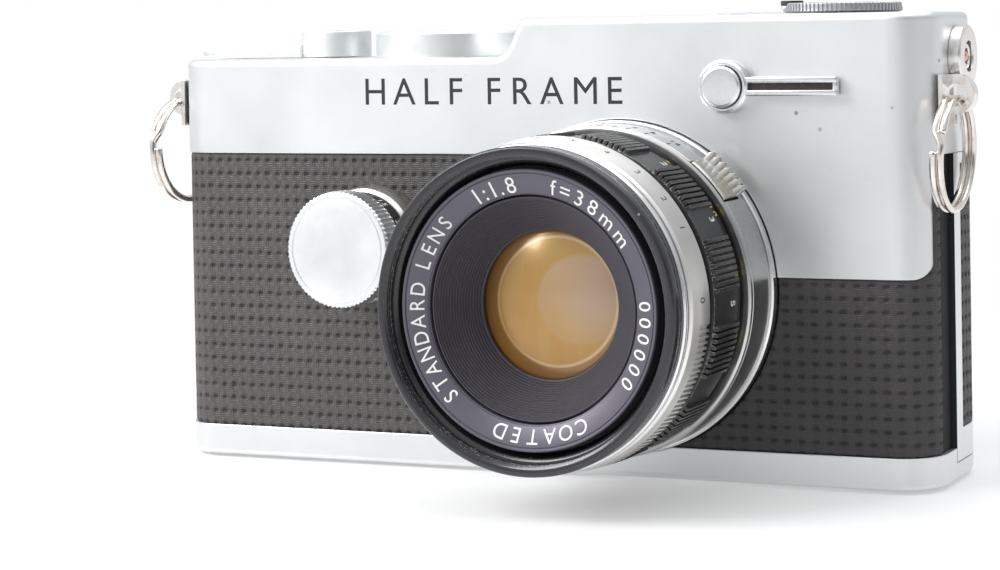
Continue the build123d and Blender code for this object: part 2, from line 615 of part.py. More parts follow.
with BuildPart() as rewind_fork:
    turn_z([(0, 42.5), (2.9, 42.5), (2.9, 46.2), (2.05, 46.8), (2.05, HIGH_DECK + 0.1),
            (0, HIGH_DECK + 0.1)], REWIND_X, REWIND_Y)
    # blade, slotted into two prongs
    block(REWIND_X - 2.6, REWIND_X + 2.6, REWIND_Y - 0.6, REWIND_Y + 0.6, 39.0, 43.0)
    block(REWIND_X - 0.8, REWIND_X + 0.8, REWIND_Y - 0.7, REWIND_Y + 0.7, 38.9, 41.2,
          mode=CUT)
export(rewind_fork, "rewind_fork")

CRANK_COS, CRANK_SIN = polar(1, 205)   # direction of the folded crank arm
PIVOT = -2.65                          # crank pivot, along the arm from the knob axis
KNOB_RADIUS = 8.75
GRIP_AT = 7.6                          # grip, along the arm from the knob axis
PIN = Plane(
    origin=(REWIND_X + PIVOT * CRANK_COS, REWIND_Y + PIVOT * CRANK_SIN, HIGH_DECK + 0.91),
    x_dir=(0, 0, 1), z_dir=(-CRANK_SIN, CRANK_COS, 0))


def crank_plane(height):
    """Level plane above the high deck, local x along the crank arm."""
    return Plane(origin=(REWIND_X, REWIND_Y, HIGH_DECK + height),
                 x_dir=(CRANK_COS, CRANK_SIN, 0), z_dir=(0, 0, 1))


def crank_blocks(spots, length, width, bottom, height, mode=Mode.ADD):
    """Blocks lined up with the crank arm, at (along, across) spots."""
    with BuildSketch(crank_plane(bottom)) as outline:
        with Locations(*spots):
            Rectangle(length, width)
    extrude(outline.sketch, amount=height, mode=mode)


# (radius, height above the high deck)
KNOB_OUTLINE = [
    (0, 0.12), (8.5, 0.12), (KNOB_RADIUS, 0.35), (KNOB_RADIUS, 0.85),
    (8.45, 1.0), (6.9, 1.0), (6.7, 0.6), (0, 0.6),
]
with BuildPart() as rewind_knob:
    turn_z(KNOB_OUTLINE, REWIND_X, REWIND_Y, HIGH_DECK)
    # slot the arm folds into, relief under the crank pivot, pivot cheeks
    crank_blocks([(3.5, 0)], 13.0, 3.4, 0.58, 2, mode=CUT)
    crank_blocks([(PIVOT, 0)], 1.9, 3.0, 0.36, 1, mode=CUT)
    crank_blocks([(PIVOT, 2.15), (PIVOT, -2.15)], 1.8, 0.8, 0.5, 0.95)
    with BuildSketch(PIN) as pin_hole:
        Circle(0.31)
    extrude(pin_hole.sketch, amount=3, both=True, mode=CUT)
export(rewind_knob, "rewind_knob")

ARM = crank_plane(0.66)                # underside of the arm
with BuildPart() as rewind_crank:
    with BuildSketch(ARM):
        with Locations((3.2, 0)):
            SlotOverall(12.2, 2.6)
    extrude(amount=0.5)
    # pivot pin
    with BuildSketch(PIN):
        Circle(0.28)
    extrude(amount=2.5, both=True)
    # post of the grip
    with BuildSketch(ARM.offset(0.1)):
        with Locations((GRIP_AT, 0)):
            Circle(0.55)
    extrude(amount=1.15)
export(rewind_crank, "rewind_crank")

with BuildPart() as rewind_crank_grip:
    with BuildSketch(ARM.offset(0.55)):
        with Locations((GRIP_AT, 0)):
            Circle(1.7)
            Circle(0.6, mode=CUT)
    extrude(amount=0.75)
export(rewind_crank_grip, "rewind_crank_grip")

# ================================================================ speed dial
DIAL_RADIUS = 8.8
with BuildPart() as dial_base:
    turn_y([(2.0, 0.82), (7.0, 0.82), (7.0, 0.2), (9.0, 0.2), (9.1, -1.2), (8.9, -3.4),
            (8.3, -4.4), (2.0, -4.4)], DIAL_X, DIAL_Z)
export(dial_base, "dial_base")

with BuildPart() as dial_number_ring:
    turn_y([(1.9, -4.5), (8.35, -4.5), (8.35, -7.5), (1.9, -7.5)], DIAL_X, DIAL_Z)
export(dial_number_ring, "dial_number_ring")

with BuildPart() as dial_knob:
    turn_y([(0, -7.55), (DIAL_RADIUS - 0.3, -7.55), (DIAL_RADIUS, -7.8), (DIAL_RADIUS, -11.1),
            (DIAL_RADIUS - 0.4, -11.6), (0, -11.6)], DIAL_X, DIAL_Z)
    rod_y(DIAL_X, DIAL_Z, 1.8, -7.6, 7.5)
    # knurling
    mill(-7.4, 3.9, (0.36, 0.3), DIAL_X, DIAL_Z, radius=DIAL_RADIUS + 0.05, count=48)
export(dial_knob, "dial_knob")

# ================================================================ self timer
TIMER_TIP = 49.0               # x of the centre of the rounded arm end
ARM_HALF = 1.35                # half height of the arm
with BuildPart() as self_timer_lever:
    turn_y([(0, 4.4), (1.25, 4.4), (1.25, -0.15), (3.9, -0.15), (3.9, -1.9), (3.6, -2.2),
            (3.15, -2.2), (3.15, -1.1), (0, -1.1)], TIMER_X, TIMER_Z)
    block(TIMER_X + 3.3, TIMER_TIP + 0.4, FRONT - 1.7, FRONT - 0.45,
          TIMER_Z - ARM_HALF, TIMER_Z + ARM_HALF)
    rod_y(TIMER_TIP, TIMER_Z, ARM_HALF, -1.7, -0.45)
    # groove along the arm
    block(TIMER_X + 4.6, TIMER_TIP + 0.3, FRONT - 2.0, FRONT - 1.4,
          TIMER_Z - 0.4, TIMER_Z + 0.4, mode=CUT)
export(self_timer_lever, "self_timer_lever")

with BuildPart() as self_timer_button:
    turn_y([(0, -2.0), (3.06, -2.0), (3.06, -2.7), (2.8, -2.95), (0, -3.0)], TIMER_X, TIMER_Z)
export(self_timer_button, "self_timer_button")

# ================================================================ flash socket
END_SEAT = HALF_WIDTH + 0.05   # x of fittings seated on the end of the cover
with BuildPart() as sync_socket:
    turn_x([(61.5, 2.95), (61.5, 2.3), (65.35, 2.3), (65.35, 4.35), (65.1, 4.65),
            (END_SEAT, 4.65), (END_SEAT, 2.95)], SOCKET_Y, SOCKET_Z)
export(sync_socket, "sync_socket")

with BuildPart() as sync_insulator:
    turn_x([(61.5, 2.25), (61.5, 0.85), (64.7, 0.85), (64.7, 2.25)], SOCKET_Y, SOCKET_Z)
export(sync_insulator, "sync_insulator")

with BuildPart() as sync_pin:
    turn_x([(61.0, 0.0), (61.0, 0.8), (64.8, 0.8), (65.1, 0.5), (65.1, 0.0)],
           SOCKET_Y, SOCKET_Z)
export(sync_pin, "sync_pin")

# ================================================================ strap fittings
EYE_OUT = 65.5                 # x of the eye the ring passes through
EAR_OUT, EAR_RADIUS = 65.3, 2.9
with BuildPart() as strap_lugs:
    for side in (-1, 1):
        rod_y(side * EAR_OUT, LUG_Z, EAR_RADIUS, LUG_DEPTH - 1.0, LUG_DEPTH + 1.0)
    cut_away(x0=-END_SEAT, x1=END_SEAT)
    for side in (-1, 1):
        # plate on the cover, ear, peg into the cover, eye
        block(side * END_SEAT, side * 64.2, FRONT + 3.4, FRONT + 10.6, 52.3, 59.6)
        block(side * 64.0, side * EAR_OUT, LUG_Y - 1.0, LUG_Y + 1.0,
              LUG_Z - EAR_RADIUS, LUG_Z + EAR_RADIUS)
        rod_x(LUG_Y, RIVET_Z, 0.8, side * 62.0, side * 63.8)
        rod_y(side * EYE_OUT, LUG_Z, 1.65, LUG_DEPTH - 2.0, LUG_DEPTH + 2.0, mode=CUT)
    # clearance around the flash socket
    rod_x(SOCKET_Y, SOCKET_Z, 4.75, 60, 70, mode=CUT)
export(strap_lugs, "strap_lugs")

COIL_RADIUS, WIRE_RADIUS = 8.0, 0.57
WIRE_OFFSET = 0.56             # of each turn from the middle of the ring
WIRE_DROP = 0.65               # wire centre below the lug eye centre
TILT = math.radians(3)         # rest pose, towards the body
LEAN = math.radians(10)        # rest pose, forwards
for name, side in (("right", 1), ("left", -1)):
    down = Vector(-side * math.sin(TILT), -math.sin(LEAN),
                  -math.cos(LEAN) * math.cos(TILT)).normalized()
    across = (Vector(1, 0, 0) - down * down.X).normalized()
    eye = Vector(side * EYE_OUT, LUG_Y, LUG_Z)
    with BuildPart() as strap_ring:
        # two turns of wire lying side by side
        for offset in (-WIRE_OFFSET, WIRE_OFFSET):
            top = eye + across * offset + down * WIRE_DROP
            with BuildSketch(Plane(origin=top, x_dir=across, z_dir=across.cross(down))) as wire:
                Circle(WIRE_RADIUS)
            revolve(wire.sketch, axis=Axis(top + down * COIL_RADIUS, across))
    export(strap_ring, "strap_ring_" + name)

# ================================================================ lens
DOF_RADIUS = 24.3              # depth of field ring
FOCUS_RADIUS = 23.8
APERTURE_RADIUS = 23.6
BARREL_RADIUS = 22.6           # front of the barrel
FILTER_RADIUS = 21.4           # filter thread wall
PREVIEW_ANGLE = 43             # preview button, degrees from +X towards +Z

# (radius, depth)
MOUNT_BASE_OUTLINE = [
    (15.9, 3.0), (17.6, 3.0), (17.6, FLANGE - 0.03), (DOF_RADIUS + 0.05, FLANGE - 0.03),
    (DOF_RADIUS, -8.95), (DOF_RADIUS - 0.2, -9.15), (20.9, -9.15), (20.9, -16.5),
    (19.75, -16.5), (19.75, -2.7), (15.9, -2.7),
]
with BuildPart() as lens_mount_base:
    turn_y(MOUNT_BASE_OUTLINE)
    # bayonet claws
    for angle in (0, 120, 240):
        sector(17.0, 18.8, angle, 17, 2.4, 1.4)
    # pocket for the preview button
    sector(21.6, 26, PREVIEW_ANGLE, 9.4, -3.0, 5.6, mode=CUT, flat_inside=True)
export(lens_mount_base, "lens_mount_base")

with BuildPart() as preview_button:
    sector(22.7, 25.7, PREVIEW_ANGLE, 8.6, -3.1, 5.3)
    # grip grooves
    with BuildSketch(facing_front(LENS_X, FRONT - 2.9, LENS_Z)) as grooves:
        with Locations(*[polar(26.0, 35.6 + i * 2.47) for i in range(7)]):
            Circle(0.42)
    extrude(grooves.sketch, amount=2.2, mode=CUT)
export(preview_button, "preview_button")

with BuildPart() as focus_ring:
    turn_y([(21.0, -9.3), (22.7, -9.3), (22.7, -11.0), (FOCUS_RADIUS, -11.3),
            (FOCUS_RADIUS, -19.4), (FOCUS_RADIUS - 0.3, -19.7), (21.0, -19.7)])
    # grip flats
    mill(-10.8, 10, (2.2, 4.4), radius=FOCUS_RADIUS + 0.55, count=12)
export(focus_ring, "focus_ring")

# (radius, depth): outside from the front rim to the rear, then the bore forwards
BARREL_OUTLINE = [
    (BARREL_RADIUS - 0.2, -32.4), (BARREL_RADIUS, -32.2), (BARREL_RADIUS, -29.45),
    (22.0, -29.45), (22.0, -28.3), (22.5, -28.3), (22.5, -27.8), (20.2, -27.8),
    (20.2, -20.0), (19.65, -20.0), (19.65, -3.1),
    (9.6, -3.1), (9.6, -14.0), (10.3, -14.0), (10.3, -20.6), (10.95, -20.6),
    (10.95, -23.2), (11.7, -23.2), (16.3, -28.4), (20.6, -28.4), (20.6, -31.0),
    (FILTER_RADIUS, -31.0), (FILTER_RADIUS, -32.4),
]
with BuildPart() as lens_barrel:
    turn_y(BARREL_OUTLINE)
export(lens_barrel, "lens_barrel")

with BuildPart() as barrel_trim_ring:
    turn_y([(22.05, -29.4), (22.75, -29.4), (22.9, -28.9), (22.75, -28.35), (22.05, -28.35)])
export(barrel_trim_ring, "barrel_trim_ring")

with BuildPart() as aperture_ring:
    turn_y([(20.3, -27.7), (22.9, -27.7), (23.1, -27.4), (APERTURE_RADIUS, -22.6),
            (APERTURE_RADIUS - 0.2, -22.2), (20.3, -22.2)])
    # coarse milling on the lower half
    mill(-22.0, 3.0, (0.5, 0.6), radius=APERTURE_RADIUS + 0.05, count=60,
         start_angle=190, angular_range=165)
export(aperture_ring, "aperture_ring")

with BuildPart() as name_ring:
    turn_y([(19.4, -30.9), (19.2, -31.0), (15.8, -29.6), (15.8, -28.45), (19.4, -28.45)])
export(name_ring, "name_ring")

with BuildPart() as ridged_cone:
    turn_y([(15.3, -29.3), (10.5, -23.9), (10.5, -23.25), (11.6, -23.25), (15.75, -28.1),
            (15.6, -28.9)])
export(ridged_cone, "ridged_cone")

# (radius, depth): front face outwards, then rear face inwards
FRONT_GLASS_OUTLINE = [
    (0, -25.1), (1.8, -25.05), (3.6, -24.9), (5.4, -24.62), (7.2, -24.25), (9.0, -23.65),
    (10.2, -23.2), (10.9, -23.0),
    (10.9, -20.7), (8.5, -20.7), (6.0, -20.95), (3.0, -21.2), (0, -21.3),
]
with BuildPart() as front_glass:
    turn_y(FRONT_GLASS_OUTLINE)
export(front_glass, "front_glass")

# disc with a five sided opening
with BuildPart() as aperture_blades:
    rod_y(LENS_X, LENS_Z, 10.25, -17.2, -16.8)
    with BuildSketch(facing_front(LENS_X, FRONT - 16.5, LENS_Z)) as iris:
        RegularPolygon(7.4, 5)
    extrude(iris.sketch, amount=1.0, mode=CUT)
export(aperture_blades, "aperture_blades")

with BuildPart() as rear_glass:
    turn_y([(0, -8.4), (4.0, -8.1), (7.5, -7.2), (9.5, -6.4), (9.5, -3.6), (6.0, -3.0),
            (0, -2.7)])
export(rear_glass, "rear_glass")
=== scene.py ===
import bpy
import bmesh
import math
import numpy as np
from mathutils import Matrix, Vector


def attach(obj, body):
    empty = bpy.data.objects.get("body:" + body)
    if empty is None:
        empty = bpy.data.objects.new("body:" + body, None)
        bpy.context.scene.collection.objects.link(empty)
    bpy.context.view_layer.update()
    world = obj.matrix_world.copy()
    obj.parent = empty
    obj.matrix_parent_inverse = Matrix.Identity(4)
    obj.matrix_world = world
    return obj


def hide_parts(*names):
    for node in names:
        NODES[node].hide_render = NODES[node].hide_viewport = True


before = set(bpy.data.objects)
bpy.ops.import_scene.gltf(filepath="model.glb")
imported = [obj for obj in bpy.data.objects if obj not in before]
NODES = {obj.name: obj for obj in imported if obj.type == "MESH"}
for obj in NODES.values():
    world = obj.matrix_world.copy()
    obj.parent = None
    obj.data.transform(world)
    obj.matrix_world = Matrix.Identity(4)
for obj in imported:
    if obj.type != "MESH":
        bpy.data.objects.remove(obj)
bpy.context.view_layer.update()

# ---------------------------------------------------------------- sizes, millimetres
F = -14.6                       # front plane of the body
XL, ZL = 15.0, 28.5             # lens axis
XD, ZD = -26.6, 34.2            # speed dial axis
XT, ZT = 32.46, 58.2            # self timer axis
XS, YS = -42.0, 0.0             # winding lever axis
XB, YB = -20.6, 0.4             # shutter button axis
XR, YR = 45.3, 0.2              # rewind axis
Z_LOW, Z_HIGH = 62.9, 68.7      # decks
Z_BASE, Z_SPLIT, Z_APRON, X_APRON = 4.8, 48.1, 30.4, 62.4
W, D, R, RB = 127.0, 29.2, 6.5, 12.0
MM = 0.001
rad, cos, sin, pi = math.radians, math.cos, math.sin, math.pi


def fy(v):
    return v + F


# ================================================================ mesh tools
def make(name, verts, faces, mat, body, replaces=(), slot=None, angle=32.0, uv=None, clean=True):
    """A mesh object from millimetre vertices in the row frame."""
    me = bpy.data.meshes.new(name)
    me.from_pydata([(x * MM, y * MM, z * MM) for x, y, z in verts], [], [list(map(int, f)) for f in faces])
    if clean:
        bm = bmesh.new()
        bm.from_mesh(me)
        bmesh.ops.recalc_face_normals(bm, faces=bm.faces)
        bm.to_mesh(me)
        bm.free()
    me.validate()
    me.shade_smooth()
    me.set_sharp_from_angle(angle=rad(angle))
    if uv is not None:
        layer = me.uv_layers.new(name="UVMap")
        idx = np.zeros(len(me.loops), np.int32)
        me.loops.foreach_get("vertex_index", idx)
        layer.data.foreach_set("uv", np.asarray(uv, np.float32)[idx].ravel())
    ob = bpy.data.objects.new(name, me)
    bpy.context.scene.collection.objects.link(ob)
    for m in mat if isinstance(mat, (list, tuple)) else [mat]:
        me.materials.append(m)
    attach(ob, body)
    if replaces:
        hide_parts(*replaces)
    return ob


def rnd(points, default=0.12, seg=3, closed=True):
    """Rounds the corners of a 2-D outline. Points are (a, b) or (a, b, radius)."""
    n = len(points)
    out = []
    for i, p in enumerate(points):
        q = np.array(p[:2], float)
        r = p[2] if len(p) > 2 else default
        if (not closed and i in (0, n - 1)) or r <= 0:
            out.append(q)
            continue
        a = np.array(points[i - 1][:2], float) - q
        b = np.array(points[(i + 1) % n][:2], float) - q
        la, lb = np.linalg.norm(a), np.linalg.norm(b)
        if la < 1e-6 or lb < 1e-6:
            out.append(q)
            continue
        a, b = a / la, b / lb
        c = float(np.clip(a @ b, -1, 1))
        turn = pi - math.acos(c)
        if turn < 0.06:
            out.append(q)
            continue
        t = min(r * math.tan(turn / 2), 0.45 * la, 0.45 * lb)
        s, e = q + a * t, q + b * t
        for k in range(seg + 1):
            u = k / seg
            out.append((1 - u) ** 2 * s + 2 * u * (1 - u) * q + u * u * e)
    return np.array(out)


def lathe(name, prof, axis, centre, mat, body, n=256, angles=None, mod=None, closed=True, angle=32.0, **kw):
    """Turned piece. prof is (radius, along) in millimetres; mod(theta, r, a) gives a new (r, a).
    axis 'y' : theta runs from +X towards +Z. axis 'z': from +X towards +Y. axis 'x': from +Y towards +Z."""
    prof = np.array(prof, float)
    th = np.array(angles, float) if angles is not None else np.arange(n) * 2 * pi / n
    nt, npf = len(th), len(prof)
    rr = np.repeat(prof[None, :, 0], nt, 0)
    aa = np.repeat(prof[None, :, 1], nt, 0)
    if mod is not None:
        rr, aa = mod(np.repeat(th[:, None], npf, 1), rr, aa)
    c, s = np.cos(th)[:, None], np.sin(th)[:, None]
    u, v = rr * c, rr * s
    if axis == "y":
        P = np.stack([centre[0] + u, aa, centre[1] + v], -1)
    elif axis == "z":
        P = np.stack([centre[0] + u, centre[1] + v, aa], -1)
    else:
        P = np.stack([aa, centre[0] + u, centre[1] + v], -1)
    pole = [i for i in range(npf) if prof[i, 0] < 1e-6]
    idx = np.arange(nt * npf).reshape(nt, npf)
    V = P.reshape(-1, 3).tolist()
    for i in pole:
        V.append(P[:, i].mean(0).tolist())
        idx[:, i] = len(V) - 1
    m = npf if closed else npf - 1
    faces = []
    for j in range(nt):
        k = (j + 1) % nt
        for i in range(m):
            h = (i + 1) % npf
            q = [idx[j, i], idx[j, h], idx[k, h], idx[k, i]]
            f = []
            for x in q:
                if x not in f:
                    f.append(x)
            if len(f) > 2:
                faces.append(f)
    used = sorted({x for f in faces for x in f})
    remap = {x: i for i, x in enumerate(used)}
    V = [V[x] for x in used]
    faces = [[remap[x] for x in f] for f in faces]
    return make(name, V, faces, mat, body, angle=angle, **kw)


def prism(name, outline, axis, lo, hi, mat, body, bevel=0.15, seg=3, holes=(), place=None, warp=None, angle=32.0, **kw):
    """Extruded outline with rounded edges. axis 'z': outline (x, y); 'y': outline (x, z); 'x': outline (y, z)."""
    bm = bmesh.new()

    def up(p, h):
        if axis == "z":
            v = Vector((p[0], p[1], h))
        elif axis == "y":
            v = Vector((p[0], h, p[1]))
        else:
            v = Vector((h, p[0], p[1]))
        return place @ v if place is not None else v

    loops = [list(outline)] + [list(h) for h in holes]
    low, high = [], []
    for lp in loops:
        low.append([bm.verts.new(up(p, lo)) for p in lp])
        high.append([bm.verts.new(up(p, hi)) for p in lp])
    for a, b in zip(low, high):
        n = len(a)
        for i in range(n):
            bm.faces.new((a[i], a[(i + 1) % n], b[(i + 1) % n], b[i]))
    if len(loops) == 1:
        bm.faces.new(low[0])
        bm.faces.new(high[0][::-1])
    else:
        for group in (low, high):
            edges = []
            for lp in group:
                for i in range(len(lp)):
                    e = bm.edges.get((lp[i], lp[(i + 1) % len(lp)]))
                    edges.append(e)
            bmesh.ops.triangle_fill(bm, use_beauty=True, use_dissolve=True, edges=edges)
    bmesh.ops.recalc_face_normals(bm, faces=bm.faces)
    if bevel > 0:
        sharp = [e for e in bm.edges if len(e.link_faces) == 2 and e.calc_face_angle(0) > rad(40)]
        bmesh.ops.bevel(bm, geom=sharp, offset=bevel, segments=seg, profile=0.5, affect="EDGES", clamp_overlap=True)
    bmesh.ops.remove_doubles(bm, verts=bm.verts, dist=1e-4)
    me = bpy.data.meshes.new("tmp")
    bm.to_mesh(me)
    bm.free()
    V = [tuple(v.co) for v in me.vertices]
    Fc = [list(p.vertices) for p in me.polygons]
    bpy.data.meshes.remove(me)
    if warp is not None:
        V = [warp(v) for v in V]
    return make(name, V, Fc, mat, body, angle=angle, **kw)


def tube(name, path, r, mat, body, n=20, r_end=None, **kw):
    """Round wire along a path of millimetre points, with domed ends."""
    P = np.array(path, float)
    T = np.gradient(P, axis=0)
    T /= np.linalg.norm(T, axis=1)[:, None]
    up = np.array([1.0, 0, 0])
    V, faces = [], []
    prev = up - (up @ T[0]) * T[0]
    prev /= np.linalg.norm(prev)
    rings = []
    radii = np.full(len(P), r)
    for i in range(len(P)):
        prev = prev - (prev @ T[i]) * T[i]
        prev /= np.linalg.norm(prev)
        b = np.cross(T[i], prev)
        ring = []
        for k in range(n):
            a = 2 * pi * k / n
            V.append((P[i] + radii[i] * (cos(a) * prev + sin(a) * b)).tolist())
            ring.append(len(V) - 1)
        rings.append(ring)
    for a, b in zip(rings[:-1], rings[1:]):
        for k in range(n):
            h = (k + 1) % n
            faces.append([a[k], a[h], b[h], b[k]])
    for ring, i, sgn in ((rings[0], 0, -1), (rings[-1], len(P) - 1, 1)):
        last = ring
        for q in (0.85, 0.5):
            new = []
            for k in range(n):
                base = np.array(V[ring[k]])
                d = base - P[i]
                V.append((P[i] + d * q + sgn * T[i] * r * math.sqrt(1 - q * q) * 0.5).tolist())
                new.append(len(V) - 1)
            for k in range(n):
                h = (k + 1) % n
                faces.append([last[k], last[h], new[h], new[k]])
            last = new
        V.append((P[i] + sgn * T[i] * r * 0.5).tolist())
        for k in range(n):
            faces.append([last[k], last[(k + 1) % n], len(V) - 1])
    return make(name, V, faces, mat, body, angle=50, **kw)


_glyphs = {}


def glyph(ch, size):
    """Outline mesh of one character, centred on its advance, as 2-D points and faces."""
    key = (ch, size)
    if key not in _glyphs:
        cu = bpy.data.curves.new("glyph", "FONT")
        cu.body = ch
        cu.size = size
        cu.resolution_u = 6
        cu.align_x = "CENTER"
        ob = bpy.data.objects.new("glyph", cu)
        bpy.context.scene.collection.objects.link(ob)
        dg = bpy.context.evaluated_depsgraph_get()
        me = bpy.data.meshes.new_from_object(ob.evaluated_get(dg))
        V = np.array([v.co[:2] for v in me.vertices], float).reshape(-1, 2)
        Fc = [list(p.vertices) for p in me.polygons]
        bpy.data.meshes.remove(me)
        bpy.data.objects.remove(ob)
        bpy.data.curves.remove(cu)
        _glyphs[key] = (V, Fc)
    return _glyphs[key]


def thicken(V2, Fc, put, depth):
    """Turns a flat 2-D patch into a thin closed solid. put(u, v, w) gives a 3-D point, w from 0 to depth."""
    n = len(V2)
    V = [put(u, v, depth) for u, v in V2] + [put(u, v, -0.02) for u, v in V2]
    faces = [list(f) for f in Fc] + [[x + n for x in f[::-1]] for f in Fc]
    count = {}
    for f in Fc:
        for i in range(len(f)):
            a, b = f[i], f[(i + 1) % len(f)]
            count[(a, b)] = count.get((a, b), 0) + 1
    for (a, b) in list(count):
        if (b, a) not in count:
            faces.append([b, a, a + n, b + n])
    return V, faces


class Marks:
    """Collects printed or engraved marks, then makes one piece of them."""

    def __init__(self):
        self.V, self.F = [], []

    def add(self, V, faces):
        o = len(self.V)
        self.V += [tuple(v) for v in V]
        self.F += [[x + o for x in f] for f in faces]

    def char(self, ch, size, put, depth=0.025, bold=0.0, sx=1.0):
        V, Fc = glyph(ch, size)
        if len(Fc) == 0:
            return
        V = V.copy()
        V[:, 0] *= sx
        V[:, 1] -= size * 0.35
        self.add(*thicken(V, Fc, put, depth))

    def bar(self, w, h, put, depth=0.025, cx=0.0, cy=0.0, nseg=3):
        V2, Fc = [], []
        for i in range(nseg + 1):
            for j in range(nseg + 1):
                V2.append((cx + w * (i / nseg - 0.5), cy + h * (j / nseg - 0.5)))
        for i in range(nseg):
            for j in range(nseg):
                a = i * (nseg + 1) + j
                Fc.append([a, a + nseg + 1, a + nseg + 2, a + 1])
        self.add(*thicken(V2, Fc, put, depth))

    def dot(self, r, put, depth=0.025, n=16):
        V2 = [(0, 0)] + [(r * cos(2 * pi * k / n), r * sin(2 * pi * k / n)) for k in range(n)]
        Fc = [[0, 1 + k, 1 + (k + 1) % n] for k in range(n)]
        self.add(*thicken(V2, Fc, put, depth))

    def done(self, name, mat, body, **kw):
        return make(name, self.V, self.F, mat, body, angle=40, **kw)


def on_front(cx, cz, r, deg, y, slope=0.0):
    """Place for a mark on a ring facing the front: u runs clockwise, v outward, read from the front."""
    a = rad(deg)

    def put(u, v, w):
        rr = r + v
        x = cx + rr * cos(a) + u * sin(a)
        z = cz + rr * sin(a) - u * cos(a)
        q = math.hypot(x - cx, z - cz)
        return (x, y(q) - w, z)

    return put


def on_side(cx, cz, rfun, deg, a0, flip=1):
    """Place for a mark on the side of a ring with its axis along Y: u runs round the ring clockwise seen from the front, v along +Y."""

    def put(u, v, w):
        y = a0 + v
        r = rfun(y)
        t = rad(deg) - flip * u / r
        return (cx + (r + w) * cos(t), y, cz + (r + w) * sin(t))

    return put


# ================================================================ materials
class Mat:
    def __init__(self, name):
        self.m = bpy.data.materials.new(name)
        self.m.use_nodes = True
        self.t = self.m.node_tree
        self.t.nodes.clear()
        self.out = self.t.nodes.new("ShaderNodeOutputMaterial")

    def n(self, kind, props=None, **ins):
        nd = self.t.nodes.new("ShaderNode" + kind)
        for k, v in (props or {}).items():
            setattr(nd, k, v)
        for k, v in ins.items():
            self.set(nd, k, v)
        return nd

    def set(self, nd, k, v):
        key = k.replace("_", " ") if isinstance(k, str) else k
        sock = None
        if isinstance(key, str) and key[:1] == "i" and key[1:].isdigit():
            sock = nd.inputs[int(key[1:])]
        else:
            for s in nd.inputs:
                if s.name.lower() == key.lower() and s.enabled:
                    sock = s
                    break
            if sock is None:
                for s in nd.inputs:
                    if s.name.lower() == key.lower():
                        sock = s
                        break
        if sock is None:
            raise KeyError(f"{nd.bl_idname} has no input {k}")
        if hasattr(v, "is_output") and v.is_output:
            self.t.links.new(v, sock)
        elif isinstance(v, bpy.types.Node):
            self.t.links.new(v.outputs[0], sock)
        else:
            if sock.type == "RGBA" and len(v) == 3:
                v = (*v, 1.0)
            sock.default_value = v

    def math(self, op, a, b=0.0, c=0.0, clamp=False):
        nd = self.t.nodes.new("ShaderNodeMath")
        nd.operation = op
        nd.use_clamp = clamp
        for i, v in enumerate((a, b, c)):
            if isinstance(v, (int, float)):
                nd.inputs[i].default_value = v
            elif isinstance(v, bpy.types.Node):
                self.t.links.new(v.outputs[0], nd.inputs[i])
            else:
                self.t.links.new(v, nd.inputs[i])
        return nd.outputs[0]

    def mm(self):
        """Object coordinates in millimetres."""
        if not hasattr(self, "_mm"):
            tc = self.n("TexCoord")
            mp = self.n("Mapping", Vector=tc.outputs["Object"], Scale=(1000, 1000, 1000))
            self._mm = mp.outputs[0]
        return self._mm

    def ramp(self, fac, lo, hi, a=0.0, b=1.0):
        nd = self.n("MapRange", {"clamp": True}, Value=fac, From_Min=lo, From_Max=hi, To_Min=a, To_Max=b)
        return nd.outputs[0]

    def noise(self, scale, detail=3.0, rough=0.5, vec=None, w=None, dist=0.0):
        nd = self.n("TexNoise", Vector=vec if vec is not None else self.mm(), Scale=scale, Detail=detail, Roughness=rough, Distortion=dist)
        return nd.outputs[0]

    def mix(self, fac, a, b):
        nd = self.t.nodes.new("ShaderNodeMix")
        nd.data_type = "RGBA"
        for i, v in ((0, fac), (6, a), (7, b)):
            if isinstance(v, (int, float)):
                nd.inputs[i].default_value = v
            elif isinstance(v, tuple):
                nd.inputs[i].default_value = (*v, 1.0) if len(v) == 3 else v
            else:
                self.t.links.new(v, nd.inputs[i])
        return nd.outputs[2]

    def bump(self, height, strength, dist_mm, normal=None):
        nd = self.n("Bump", Height=height, Strength=strength, Distance=dist_mm * MM)
        if normal is not None:
            self.set(nd, "Normal", normal)
        return nd.outputs[0]

    def bevel(self, r_mm, samples=4):
        nd = self.t.nodes.new("ShaderNodeBevel")
        nd.samples = samples
        nd.inputs["Radius"].default_value = r_mm * MM
        return nd.outputs[0]

    def specks(self, cell, size, keep):
        """Sparse spots: cell size in mm, spot radius as a share of the cell, share of the surface that has them."""
        v = self.n("TexVoronoi", {"feature": "F1"}, Vector=self.mm(), Scale=1.0 / cell)
        near = self.ramp(v.outputs["Distance"], size, size * 0.5)
        where = self.ramp(self.noise(0.06, 2.0), 1.0 - keep, 1.0 - keep + 0.05)
        wob = self.ramp(self.noise(3.0 / cell, 2.0), 0.42, 0.5)
        return self.math("MULTIPLY", self.math("MULTIPLY", near, where), wob)

    def surf(self, bsdf):
        self.t.links.new(bsdf.outputs[0] if isinstance(bsdf, bpy.types.Node) else bsdf, self.out.inputs["Surface"])
        return self.m


